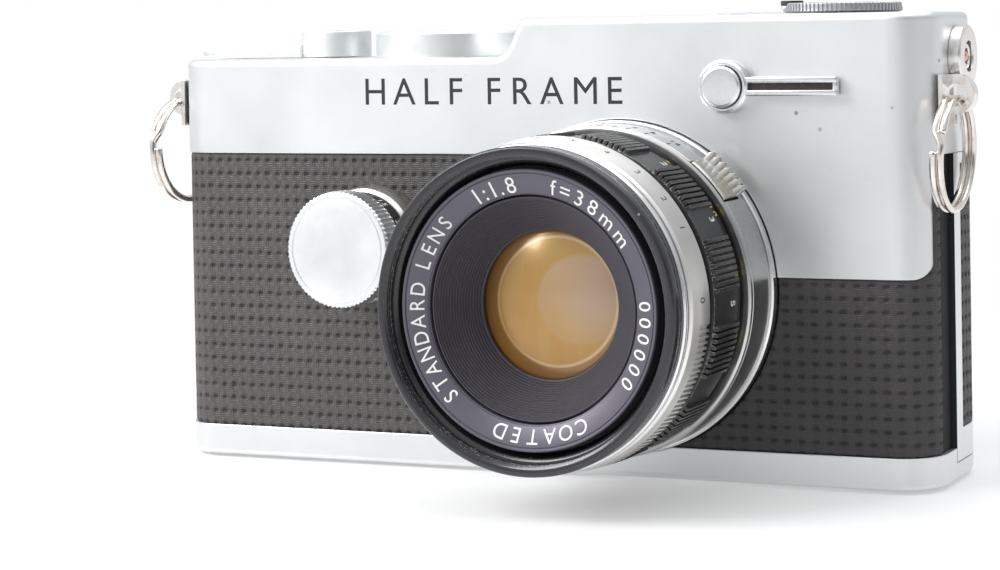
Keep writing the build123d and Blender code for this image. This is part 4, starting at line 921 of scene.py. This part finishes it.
big = g.noise(0.5, 4.0, 0.65)
stain = g.ramp(big, 0.46, 0.66)
col = g.mix(g.math("MULTIPLY", stain, 0.55), (0.60, 0.60, 0.58), (0.50, 0.42, 0.28))
M["preview"] = g.surf(g.n("BsdfPrincipled", Base_Color=col, Metallic=1.0, Roughness=g.ramp(big, 0.3, 0.7, 0.24, 0.38), Normal=g.bump(g.noise(6.0, 3.0, 0.6), 0.1, 0.03, g.bevel(0.08))))
make("preview_tab", V, Fc, M["preview"], "preview", replaces=("preview_button",), slot="satin_alloy", angle=28)

# focus ring: twelve groups of nine ribs with plain flats between them
GROUP, RIB0, NRIB, RSTEP = 30.0, 34.0, 9, 19.0 / 9


def rib_shape(deg):
    q = (deg - RIB0) % GROUP
    p = (q / RSTEP) % 1.0
    s_ = np.clip((p - 0.06) / 0.10, 0, 1) * np.clip((0.86 - p) / 0.12, 0, 1)
    s_ = s_ * s_ * (3 - 2 * s_)
    tilt = 0.86 + 0.14 * p
    return np.where(q < 19.0, s_ * tilt, 0.0)


base_q = np.r_[np.concatenate([np.array([0, .05, .09, .13, .17, .5, .72, .76, .80, .84, .88]) * RSTEP + k * RSTEP for k in range(NRIB)]), np.linspace(19.05, 29.9, 7)]
ang = np.sort(np.concatenate([(RIB0 + k * GROUP + base_q) % 360 for k in range(12)]))


def mod_focus(th, r, a):
    s_ = rib_shape(np.degrees(th))
    top = r > 23.4
    return np.where(top, 23.10 + (r - 23.10) * s_, r), a


foc_prof = ry([(21.0, -9.3), (22.75, -9.3, 0.12), (22.75, -11.1, 0.05), (23.08, -11.2, 0.05), (23.1, -11.40, 0), (23.75, -11.5, 0.08), (23.82, -19.3, 0.10), (23.1, -19.5, 0), (23.1, -19.62, 0.06), (22.6, -19.72, 0.05), (21.0, -19.72, 0.05)], 0.05, 2)
lathe("focus_ring_grip", foc_prof, "y", (XL, ZL), M["anod"], "focus", angles=np.radians(ang), mod=mod_focus, replaces=("focus_ring",), slot="black_anodised", angle=28)

mk = Marks()
for k, (ch, dg_) in enumerate((("3", 29.5), ("2", 56.0), ("1", 118.0), (".8", 150.0), (".6", 185.0), (".5", 222.0), (".4", 262.0), ("5", -1.0), ("10", -24.0))):
    for i, c in enumerate(ch):
        mk.char(c, 2.1, on_side(XL, ZL, lambda y: 23.11, dg_ - (i - (len(ch) - 1) / 2) * 3.0, fy(-13.0)), 0.03)
mk.done("focus_marks_white", M["white"], "focus", slot="black_anodised")
mk = Marks()
for k, (ch, dg_) in enumerate((("15", 10.0), ("10", 33.0), ("7", 58.0), ("5", 88.0), ("4", 120.0), ("3", 155.0), ("2", 205.0), ("1.5", 245.0), ("1.2", 275.0), ("30", -14.0))):
    for i, c in enumerate(ch):
        mk.char(c, 1.75, on_side(XL, ZL, lambda y: 22.76, dg_ - (i - (len(ch) - 1) / 2) * 2.9, fy(-10.25)), 0.03)
mk.done("focus_marks_yellow", M["yellow"], "focus", slot="black_anodised")

# marks on the depth of field ring
mk = Marks()
for dg_, ch in ((90, ""), (84, ""), (79, "4"), (72, "8"), (63, "16"), (96, ""), (101, "4"), (108, "8"), (117, "16")):
    L_ = 2.2 if dg_ == 90 else 1.2
    mk.bar(0.22, L_, on_side(XL, ZL, lambda y: 24.32, dg_, fy(-7.6) + L_ / 2), 0.02)
    for i, c in enumerate(ch):
        mk.char(c, 1.7, on_side(XL, ZL, lambda y: 24.33, dg_ - (i - (len(ch) - 1) / 2) * 2.4, fy(-4.6)), 0.02)
mk.done("dof_marks", M["blackfill"], "lens", slot="satin_alloy")

# barrel: polished black front with the filter thread inside
thread = []
y_ = -32.25
while y_ < -30.75:
    thread += [(21.42, y_, 0), (21.12, y_ + 0.125, 0), (21.12, y_ + 0.19, 0), (21.42, y_ + 0.315, 0)]
    y_ += 0.5
bar_prof = ry([(9.6, -3.1), (9.6, -14.0, 0), (10.3, -14.0, 0), (10.3, -20.6, 0), (10.95, -20.6, 0), (10.95, -23.2, 0), (11.75, -23.2, 0), (16.3, -28.38, 0.05), (19.75, -28.38, 0.05), (19.95, -28.6, 0.05), (20.35, -30.3, 0.05), (20.75, -30.62, 0.08), (21.3, -30.7, 0)]
              + thread[::-1] + [(21.5, -32.33, 0.05), (21.9, -32.42, 0.1), (22.35, -32.40, 0.2), (22.62, -32.1, 0.2), (22.62, -30.65, 0.03), (22.52, -30.6, 0.03), (22.52, -30.5, 0.03), (22.62, -30.45, 0.03), (22.6, -29.52, 0.1), (22.2, -29.45, 0.05), (22.0, -29.40, 0.03), (22.0, -28.3, 0.03), (22.5, -28.25, 0.05),
                 (22.5, -27.8, 0.05), (20.2, -27.8, 0.03), (20.2, -22.15, 0.03), (20.2, -20.0, 0.03), (19.65, -20.0, 0.03), (19.65, -3.1, 0.05)], 0.05, 2)
lathe("barrel", bar_prof, "y", (XL, ZL), M["enamel"], "barrel", n=288, replaces=("lens_barrel",), slot="black_enamel", angle=30)
lathe("barrel_trim", ry([(22.06, -29.38, 0.03), (22.7, -29.38, 0.12), (22.9, -29.1, 0.15), (22.92, -28.75, 0.08), (22.80, -28.66, 0.03), (22.80, -28.58, 0.03), (22.9, -28.5, 0.05), (22.8, -28.33, 0.08), (22.06, -28.33, 0.03)], 0.05, 3), "y", (XL, ZL), M["mount"], "barrel", n=288,
      replaces=("barrel_trim_ring",), slot="bright_chrome")
# spacer band between the two rings
lathe("barrel_spacer", ry([(20.25, -22.1, 0.03), (22.15, -22.1, 0.1), (22.15, -19.86, 0.06), (20.25, -19.86, 0.03)], 0.05, 2), "y", (XL, ZL), M["violet"], "barrel", n=240, slot="black_enamel")


# aperture ring with milled teeth on the lower half of its rear edge
def mod_ap(th, r, a):
    t = np.degrees(th) % 360
    rng_ = (t > 139.5) & (t < 354.0)
    p = (t / 2.0) % 1.0
    s_ = np.clip((p - 0.02) / 0.09, 0, 1) * np.clip((0.60 - p) / 0.09, 0, 1)
    cut = rng_ & (a > fy(-25.15)) & (r > 22.9)
    return np.where(cut, r - 0.42 * (1 - s_), r), a


ang = np.sort(np.r_[np.arange(0, 139, 1.0), np.concatenate([2.0 * k + np.array([0.02, 0.12, 0.22, 0.6, 1.02, 1.12, 1.22, 1.6]) for k in range(70, 177)]), 355.0, 356.5, 358])
ap_prof = ry([(20.3, -27.68, 0.03), (22.75, -27.68, 0.12), (23.08, -27.3, 0.15), (23.12, -26.9, 0.1), (23.33, -25.18, 0), (23.34, -25.12, 0), (23.60, -22.75, 0), (23.58, -22.45, 0.12), (23.3, -22.2, 0.08), (20.3, -22.2, 0.03)], 0.05, 3)
lathe("aperture_ring_milled", ap_prof, "y", (XL, ZL), M["alloy"], "aperture", angles=np.radians(ang), mod=mod_ap, replaces=("aperture_ring",), slot="satin_alloy", angle=30)
mk = Marks()
ap_r = lambda y: 23.12 + (y - fy(-26.9)) * 0.1157
for ch, dg_ in (("0", 3.3), ("1", 28.6), ("2", 40.2), ("3", 53.2), ("4", 66.3), ("5", 79.5), ("6", 92.5)):
    mk.char(ch, 1.75, on_side(XL, ZL, ap_r, dg_, fy(-24.5)), 0.02)
for ch, dg_ in (("16", 118.0), ("11", 106.0)):
    for i, c in enumerate(ch):
        mk.char(c, 1.5, on_side(XL, ZL, ap_r, dg_ - (i - 0.5) * 2.2, fy(-24.5)), 0.02)
mk.done("aperture_marks", M["blackfill"], "aperture", slot="satin_alloy")

# name ring and its engraving
nr_prof = ry([(19.45, -28.45, 0.03), (19.45, -30.80, 0.06), (19.30, -30.98, 0.05), (18.98, -30.90, 0.02), (18.93, -30.72, 0.02), (18.82, -30.72, 0.02), (18.78, -30.82, 0.02), (16.05, -29.72, 0.02), (15.98, -29.55, 0.02), (15.86, -29.52, 0.02), (15.80, -28.45, 0.03)], 0.03, 2)
lathe("front_ring", nr_prof, "y", (XL, ZL), M["violet"], "barrel", n=288, replaces=("name_ring",), slot="violet_black", angle=24)
slope_y = lambda q: fy(-29.72) - (q - 16.05) * (1.10 / 2.73)
mk = Marks()


def arc_text(text, mid, size, r, step, gaps=None):
    """Characters round the ring, centred on an angle, read from outside the circle's centre."""
    adv = []
    for c in text:
        adv.append({" ": 0.55, "1": 0.72, ":": 0.5, ".": 0.42, "=": 1.0, "f": 0.62, "m": 1.35}.get(c, 1.0) * step)
    total = sum(adv)
    t = mid + total / 2
    for c, a_ in zip(text, adv):
        if c != " ":
            mk.char(c, size, on_front(XL, ZL, r, t - a_ / 2, slope_y), 0.03)
        t -= a_


arc_text("1:1.8", 107.0, 3.2, 17.35, 7.3)
arc_text("f=38mm", 55.0, 3.2, 17.35, 7.7)
# generic wording round the rest of the ring
arc_text("STANDARD LENS", 181.0, 2.75, 17.4, 7.6)
arc_text("COATED", 275.0, 2.9, 17.4, 8.4)
arc_text("000000", -15.0, 2.9, 17.4, 7.3)
mk.done("front_ring_engraving", M["white"], "barrel", slot="violet_black")

# ridged light baffle
ridges = [(15.62, -28.2, 0.02), (15.72, -28.9, 0.02), (15.45, -29.28, 0.03)]
nrd = 17
for k in range(nrd):
    f0, f1 = k / nrd, (k + 1) / nrd
    ra, rb = 15.35 + (10.62 - 15.35) * f0, 15.35 + (10.62 - 15.35) * f1
    ya, yb = -29.25 + (-23.9 + 29.25) * f0, -29.25 + (-23.9 + 29.25) * f1
    ridges += [(ra - 0.03, ya, 0), (ra - 0.09, ya + 0.25, 0), (rb + 0.03, yb - 0.10, 0)]
ridges += [(10.5, -23.85, 0.02), (10.5, -23.3, 0.02), (11.6, -23.3, 0.02), (15.7, -28.0, 0.02)]
lathe("baffle", ry(ridges, 0.02, 2), "y", (XL, ZL), M["cone"], "barrel", n=240, replaces=("ridged_cone",), slot="violet_black", angle=20)

# front glass
R_G = 29.0
gp = [(r_, fy(-25.1) + R_G - math.sqrt(R_G * R_G - r_ * r_)) for r_ in np.linspace(0, 10.42, 26)]
gp += [(10.85, fy(-23.05)), (10.85, fy(-20.75)), (8.5, fy(-20.75)), (4.5, fy(-21.1)), (0, fy(-21.3))]
lathe("front_element", gp, "y", (XL, ZL), M["coated"], "barrel", n=192, replaces=("front_glass",), slot="coated_glass", angle=40)


# ================================================================ speed dial
lathe("dial_foot", ry([(2.0, 0.80, 0.03), (6.95, 0.80, 0.03), (6.95, 0.22, 0.03), (8.95, 0.20, 0.1), (9.12, -0.8, 0.5), (9.08, -2.3, 0.5), (8.75, -3.7, 0.5), (8.3, -4.4, 0.3), (2.0, -4.4, 0.03)], 0.1, 4), "y", (XD, ZD), M["dialbase"], "camera_body", n=192,
      replaces=("dial_base",), slot="satin_chrome")
lathe("dial_scale", ry([(1.9, -4.48, 0.03), (8.1, -4.48, 0.2), (8.36, -4.8, 0.2), (8.36, -7.2, 0.15), (8.1, -7.5, 0.1), (1.9, -7.5, 0.03)], 0.1, 3), "y", (XD, ZD), M["dialblack"], "speed_dial", n=192,
      replaces=("dial_number_ring",), slot="black_enamel")
mk = Marks()
for k, ch in enumerate(("B", "1", "2", "4", "8", "15", "30", "60", "125", "250", "500")):
    c0 = 205 - k * 30
    for i, c in enumerate(ch):
        mk.char(c, 1.65, on_side(XD, ZD, lambda y: 8.37, c0 - (i - (len(ch) - 1) / 2) * 6.6, fy(-6.1)), 0.02)
mk.done("dial_numbers", M["white"], "speed_dial", slot="black_enamel")
NT = 72


def mod_cap(th, r, a):
    p = (np.degrees(th) / (360 / NT)) % 1.0
    tri = np.abs(p - 0.5) * 2
    edge = np.clip((a - fy(-11.35)) / 0.35, 0, 1) * np.clip((fy(-7.75) - a) / 0.2 + 0.3, 0, 1)
    return np.where(r > 8.2, r - 0.42 * tri * edge, r), a


cap = ry([(0, -7.55, 0), (8.35, -7.55, 0.1), (8.80, -7.8, 0.1), (8.82, -8.4, 0), (8.82, -10.9, 0), (8.80, -11.2, 0.1), (8.35, -11.58, 0.15), (7.75, -11.62, 0.03), (7.70, -11.52, 0.02), (7.60, -11.52, 0.02), (7.55, -11.62, 0.03), (5.0, -11.62, 0), (2.5, -11.62, 0), (0, -11.62, 0)], 0.1, 3)
lathe("dial_cap", cap, "y", (XD, ZD), M["dialcap"], "speed_dial", n=NT * 6, mod=mod_cap, replaces=("dial_knob",), slot="satin_chrome", angle=30)
lathe("dial_shaft", ry([(0, 7.45, 0), (1.75, 7.45, 0.1), (1.75, -7.5, 0.1), (0, -7.5, 0)], 0.1, 2), "y", (XD, ZD), M["screw"], "speed_dial", n=48, slot="satin_chrome")

# ================================================================ self timer
hub = ry([(0, 4.4, 0), (1.25, 4.4, 0.05), (1.25, -0.15, 0.05), (3.75, -0.15, 0.1), (3.92, -0.4, 0.2), (3.92, -1.75, 0.25), (3.6, -2.2, 0.25), (3.25, -2.2, 0.08), (3.15, -2.1, 0.05), (3.15, -1.1, 0.02), (0, -1.1, 0)], 0.05, 4)
lathe("timer_hub", hub, "y", (XT, ZT), M["timer"], "timer", n=144, replaces=("self_timer_lever",), slot="satin_chrome")
ARM_Z = 1.38
xe = 50.0
prism("timer_arm_web", [(XT + 3.5, ZT - 1.3), (xe - 0.25, ZT - 1.3), (xe - 0.25, ZT + 1.3), (XT + 3.5, ZT + 1.3)], "y", fy(-1.35), fy(-0.42), M["groove"], "timer", bevel=0.06, slot="satin_chrome")
for nm, s_ in (("upper", 1), ("lower", -1)):
    z_in, z_out = ZT + s_ * 0.50, ZT + s_ * ARM_Z
    prism("timer_arm_rail_" + nm, [(XT + 3.3, min(z_in, z_out)), (xe, min(z_in, z_out)), (xe, max(z_in, z_out)), (XT + 3.3, max(z_in, z_out))], "y", fy(-1.95), fy(-0.40), M["timer"], "timer", bevel=0.22, seg=4, slot="satin_chrome")
prism("timer_arm_tip", [(xe - 0.75, ZT - 0.62), (xe - 0.02, ZT - 0.62), (xe - 0.02, ZT + 0.62), (xe - 0.75, ZT + 0.62)], "y", fy(-1.55), fy(-0.42), M["timer"], "timer", bevel=0.2, seg=4, slot="satin_chrome")
lathe("timer_button", ry([(0, -1.95, 0), (3.02, -1.95, 0.05), (3.02, -2.65, 0.2), (2.75, -2.95, 0.25), (1.5, -3.0, 0), (0, -3.0, 0)], 0.1, 4), "y", (XT, ZT), M["timer"], "timer_button", n=144,
      replaces=("self_timer_button",), slot="satin_chrome")

# ================================================================ winding lever and counter
hubp = rnd([(0, 47.4), (1.85, 47.4, 0.1), (1.85, 50.0, 0.05), (3.0, 50.0, 0.05), (3.0, Z_LOW + 0.14, 0.03), (5.55, Z_LOW + 0.14, 0.10), (5.6, Z_LOW + 2.5, 0), (5.58, Z_LOW + 4.1, 0.10), (5.45, Z_LOW + 4.28, 0.06), (5.22, Z_LOW + 4.28, 0.04), (5.2, Z_LOW + 4.1, 0.02), (5.2, Z_LOW + 3.28, 0.03), (0, Z_LOW + 3.28)], 0.1, 4)
lathe("lever_hub", hubp, "z", (XS, YS), M["lever"], "lever", n=192, replaces=("advance_lever",), slot="satin_chrome")


def lever_plan():
    top = [(XS - 3.0, YS + 4.7), (XS - 9.0, YS + 4.35), (XS - 15.0, YS + 3.6), (XS - 20.4, YS + 2.95), (XS - 22.6, YS + 2.0), (XS - 23.6, YS + 0.2), (XS - 23.7, YS - 1.8), (XS - 23.0, YS - 3.8), (XS - 21.4, YS - 4.9), (XS - 17.5, YS - 4.75), (XS - 12.0, YS - 4.7), (XS - 7.0, YS - 4.6), (XS - 3.0, YS - 4.6)]
    return rnd(top, 1.6, 8)


def lever_top(v):
    x, y, z = v
    t = min(1.0, max(0.0, (XS - 6.0 - x) / 16.5))
    lo, hi = Z_LOW + 0.52, Z_LOW + 2.35 - 1.0 * t
    return (x, y, lo + (z - 0.0) * (hi - lo))


prism("lever_arm", lever_plan(), "z", 0.0, 1.0, M["lever"], "lever", bevel=0.22, seg=3, warp=lever_top, slot="satin_chrome")
mk = Marks()


def on_top(cx, cy, r, deg, z, face=1):
    """Place for a mark on a flat dial facing up, read from outside looking in."""
    a = rad(deg)

    def put(u, v, w):
        rr = r + v
        return (cx + rr * cos(a) + u * sin(a), cy + rr * sin(a) - u * cos(a), z + w)

    return put


for k in range(36):
    a_ = 90 - k * 10
    big_ = k % 3 == 0
    mk.bar(0.16, 0.8 if big_ else 0.45, on_top(XS, YS, 4.45, a_, Z_LOW + 3.65), 0.02)
    if k % 6 == 0:
        for i, c in enumerate(str(k * 2) if k else "0"):
            n_ = len(str(k * 2)) if k else 1
            mk.char(c, 1.2, on_top(XS, YS, 3.3, a_ - (i - (n_ - 1) / 2) * 13.5, Z_LOW + 3.65), 0.02)
mk.done("counter_marks", M["white"], "counter", slot="black_enamel")

# ================================================================ rewind knob rim
def mod_rim(th, r, a):
    p = (np.degrees(th) / 4.5) % 1.0
    s_ = np.where(p < 0.5, 1.0, 0.0)
    t = np.degrees(th) % 180.0
    w = np.clip((np.abs(t - 25.0) - 13.0) / 4.0, 0, 1)          # the rim dips where the crank folds over it
    a = a + 0.62 * w * (a > Z_HIGH + 0.6)
    return np.where(r > 8.6, r - 0.22 * s_, r), a


rim = rnd([(8.3, Z_HIGH + 0.22), (8.70, Z_HIGH + 0.22, 0.05), (8.98, Z_HIGH + 0.36, 0.05), (8.98, Z_HIGH + 0.84, 0.08), (8.70, Z_HIGH + 0.98, 0.05), (8.3, Z_HIGH + 0.99)], 0.05, 2)
ang = np.sort(np.concatenate([4.5 * k + np.array([0.05, 0.6, 1.1, 1.6, 2.15, 2.35, 2.9, 3.4, 3.9, 4.4]) for k in range(80)]))
lathe("rewind_rim_teeth", rim, "z", (XR, YR), M["rewind"], "rewind", angles=np.radians(ang), mod=mod_rim, slot="satin_chrome", angle=28)

# ================================================================ split rings
TILT, LEAN = rad(3.0), rad(10.0)
for side, s_, body in (("right", 1, "ring_right"), ("left", -1, "ring_left")):
    down = Vector((-s_ * sin(TILT), -sin(LEAN), -cos(LEAN) * cos(TILT))).normalized()
    across = Vector((1.0, 0.0, 0.0))
    across = (across - down * down.dot(across)).normalized()
    rear = across.cross(down)
    eye = Vector((s_ * 65.5, fy(7.0), 56.7))
    path = []
    for ph in np.arange(186.0, 884.1, 2.0):
        k = min(1.0, max(0.0, (ph - 521.0) / 19.0))
        k = k * k * (3 - 2 * k)
        off = s_ * (-0.55 + 1.10 * k)
        q = eye + down * 8.65 + across * off + rear * (8.0 * cos(rad(ph))) - down * (8.0 * sin(rad(ph)))
        path.append(tuple(q))
    tube("split_ring_" + side, path, 0.53, M["wire"], body, n=20, replaces=("strap_ring_" + side,), slot="steel_wire")

# plain engraved wording on the front of the cover, filled black
mk = Marks()
xw = -29.0
for ch, adv in (("H", 5.3), ("A", 4.9), ("L", 4.3), ("F", 4.2), (" ", 2.2), ("F", 4.4), ("R", 5.0), ("A", 5.3), ("M", 5.9), ("E", 3.6)):
    if ch != " ":
        mk.char(ch, 5.9, (lambda x0: (lambda u, v, w: (x0 + u, F - w, 57.75 + v)))(xw + adv / 2), 0.02)
    xw += adv
mk.done("cover_wording", M["blackfill"], "camera_body", slot="satin_chrome")

# flash socket: bright inner ring round the small contact in its middle
SY, SZ = fy(13.2), 62.1
lathe("socket_inner_ring", rnd([(1.22, 64.5, 0.02), (1.22, 64.93, 0.06), (1.30, 65.02, 0.05), (1.78, 65.02, 0.06), (1.86, 64.93, 0.06), (1.86, 64.5, 0.02)], 0.04, 3), "x", (SY, SZ), M["lug"], "camera_body", n=72, slot="bright_chrome")

# ================================================================ studio
def node_world():
    w = bpy.data.worlds.new("studio")
    bpy.context.scene.world = w
    w.use_nodes = True
    t = w.node_tree
    t.nodes.clear()
    N, L = t.nodes.new, t.links.new
    out = N("ShaderNodeOutputWorld")
    tc = N("ShaderNodeTexCoord")
    sep = N("ShaderNodeSeparateXYZ")
    L(tc.outputs["Generated"], sep.inputs[0])

    def math_(op, a, b=0.0, clamp=False):
        nd = N("ShaderNodeMath")
        nd.operation = op
        nd.use_clamp = clamp
        for i, v in enumerate((a, b)):
            if isinstance(v, (int, float)):
                nd.inputs[i].default_value = v
            else:
                L(v, nd.inputs[i])
        return nd.outputs[0]

    def ramp(v, lo, hi, a, b):
        nd = N("ShaderNodeMapRange")
        nd.interpolation_type = "SMOOTHSTEP"
        for k, x in (("Value", v), ("From Min", lo), ("From Max", hi), ("To Min", a), ("To Max", b)):
            if isinstance(x, (int, float)):
                nd.inputs[k].default_value = x
            else:
                L(x, nd.inputs[k])
        return nd.outputs[0]

    x, y, z = sep.outputs
    # bright surround, with a darker side to the right and behind the viewer's right
    right = ramp(x, 0.30, 0.92, 0.0, 1.0)
    low = ramp(z, 0.70, 0.15, 0.0, 1.0)
    back = ramp(y, 0.75, 0.35, 0.0, 1.0)
    dark = math_("MULTIPLY", math_("MULTIPLY", math_("MULTIPLY", right, low), back), 0.55)
    # the darkest part of the room stands ahead and to the right
    near = math_("MULTIPLY", math_("MULTIPLY", ramp(x, 0.08, 0.46, 0.0, 1.0), ramp(z, 0.75, 0.20, 0.0, 1.0)), ramp(y, -0.30, -0.66, 0.0, 1.0))
    dark = math_("MAXIMUM", dark, math_("MULTIPLY", near, 0.95))
    level = ramp(dark, 0.0, 1.0, 0.74, 0.10)
    # a little darker band straight ahead, low, where the room behind the lens stands
    front = math_("MULTIPLY", ramp(y, -0.60, -0.97, 0.0, 1.0), ramp(z, 0.50, 0.10, 0.0, 1.0))
    level = math_("MULTIPLY", level, ramp(front, 0.0, 1.0, 1.0, 0.80))
    cmb = N("ShaderNodeCombineColor")
    L(math_("MULTIPLY", level, 0.985), cmb.inputs[0])
    L(level, cmb.inputs[1])
    L(math_("MULTIPLY", level, 1.015), cmb.inputs[2])
    bg = N("ShaderNodeBackground")
    L(cmb.outputs[0], bg.inputs["Color"])
    bg.inputs["Strength"].default_value = 1.0
    seen = N("ShaderNodeBackground")
    seen.inputs["Color"].default_value = (1, 1, 1, 1)
    seen.inputs["Strength"].default_value = 1.0
    lp = N("ShaderNodeLightPath")
    mixs = N("ShaderNodeMixShader")
    L(lp.outputs["Is Camera Ray"], mixs.inputs[0])
    L(bg.outputs[0], mixs.inputs[1])
    L(seen.outputs[0], mixs.inputs[2])
    L(mixs.outputs[0], out.inputs["Surface"])


node_world()


def floor():
    g = Mat("studio_floor")
    n1 = g.noise(0.012, 2.0, 0.5)
    col = g.mix(g.ramp(n1, 0.3, 0.7), (0.90, 0.90, 0.905), (0.93, 0.93, 0.935))
    b = g.n("BsdfPrincipled", Base_Color=col, Roughness=g.ramp(n1, 0.3, 0.7, 0.26, 0.30), IOR=1.45)
    g.set(b, "Specular_IOR_Level", 0.35)
    # the floor glows: near the camera about a third of painted white light lifts the shadow under it, and further out
    # it runs into the same white as the surround
    ox, oy, oz = g.n("SeparateXYZ", Vector=g.mm()).outputs
    far = g.math("SQRT", g.math("ADD", g.math("MULTIPLY", ox, ox), g.math("MULTIPLY", oy, oy)))
    e = g.n("Emission", Color=(1.0, 1.0, 1.0), Strength=1.0)
    mx = g.n("MixShader", Fac=g.ramp(far, 85.0, 190.0, 0.32, 1.0))
    g.t.links.new(b.outputs[0], mx.inputs[1])
    g.t.links.new(e.outputs[0], mx.inputs[2])
    m = g.surf(mx)
    me = bpy.data.meshes.new("studio_floor")
    s_, z_ = 4.0, -0.0004
    me.from_pydata([(-s_, -s_, z_), (s_, -s_, z_), (s_, s_, z_), (-s_, s_, z_)], [], [(0, 1, 2, 3)])
    me.materials.append(m)
    ob = bpy.data.objects.new("studio_floor", me)
    bpy.context.scene.collection.objects.link(ob)


floor()


def area(name, loc, target, size, power, colour=(1, 1, 1), size_y=None):
    li = bpy.data.lights.new(name, "AREA")
    li.energy = power
    li.color = colour
    li.shape = "RECTANGLE" if size_y else "SQUARE"
    li.size = size
    if size_y:
        li.size_y = size_y
    ob = bpy.data.objects.new(name, li)
    ob.location = loc
    d = Vector(target) - Vector(loc)
    ob.rotation_euler = d.to_track_quat("-Z", "Y").to_euler()
    bpy.context.scene.collection.objects.link(ob)
    return ob


area("key", (-0.42, -0.34, 0.46), (-0.02, -0.02, 0.035), 0.42, 5.2)
area("top", (0.05, 0.05, 0.60), (0.02, 0.0, 0.05), 0.60, 2.2)

# ---------------------------------------------------------------- camera
cam = bpy.data.cameras.new("view")
cam.sensor_fit = "HORIZONTAL"
cam.sensor_width = 36.0
cam.lens = 85.09808
cam.shift_x, cam.shift_y = -0.30621, -0.21159
cam.clip_start, cam.clip_end = 0.01, 20.0
R0 = Vector((0.9379216489, 0.3465196262, -0.0150708054))
R1 = Vector((-0.0071628775, -0.0240904884, -0.9996841209))
R2 = Vector((-0.3467732310, 0.9377333294, -0.0201129130))
Mx = Matrix((R0, -R1, -R2)).transposed().to_4x4()
Mx.translation = Vector((163.0006, -334.3155, 66.8720)) * MM
co = bpy.data.objects.new("view", cam)
co.matrix_world = Mx
bpy.context.scene.collection.objects.link(co)
bpy.context.scene.camera = co
# the lens shift belongs to this one viewpoint: from anywhere else the camera looks straight at the object
HERE = co.matrix_world.translation.copy()
for prop, amount in (("shift_x", -0.30621), ("shift_y", -0.21159)):
    drv = cam.driver_add(prop).driver
    drv.type = "SCRIPTED"
    for nm, kind in (("px", "LOC_X"), ("py", "LOC_Y")):
        var = drv.variables.new()
        var.name = nm
        var.type = "TRANSFORMS"
        var.targets[0].id = co
        var.targets[0].transform_type = kind
        var.targets[0].transform_space = "WORLD_SPACE"
    drv.expression = f"{amount} * (abs(px - {HERE.x:.6f}) < 0.001) * (abs(py - {HERE.y:.6f}) < 0.001)"
    drv.expression = drv.expression.replace("- -", "+ ")

vs = bpy.context.scene.view_settings
vs.view_transform = "Standard"
vs.look = "None"
vs.exposure = 0.0
vs.gamma = 1.0
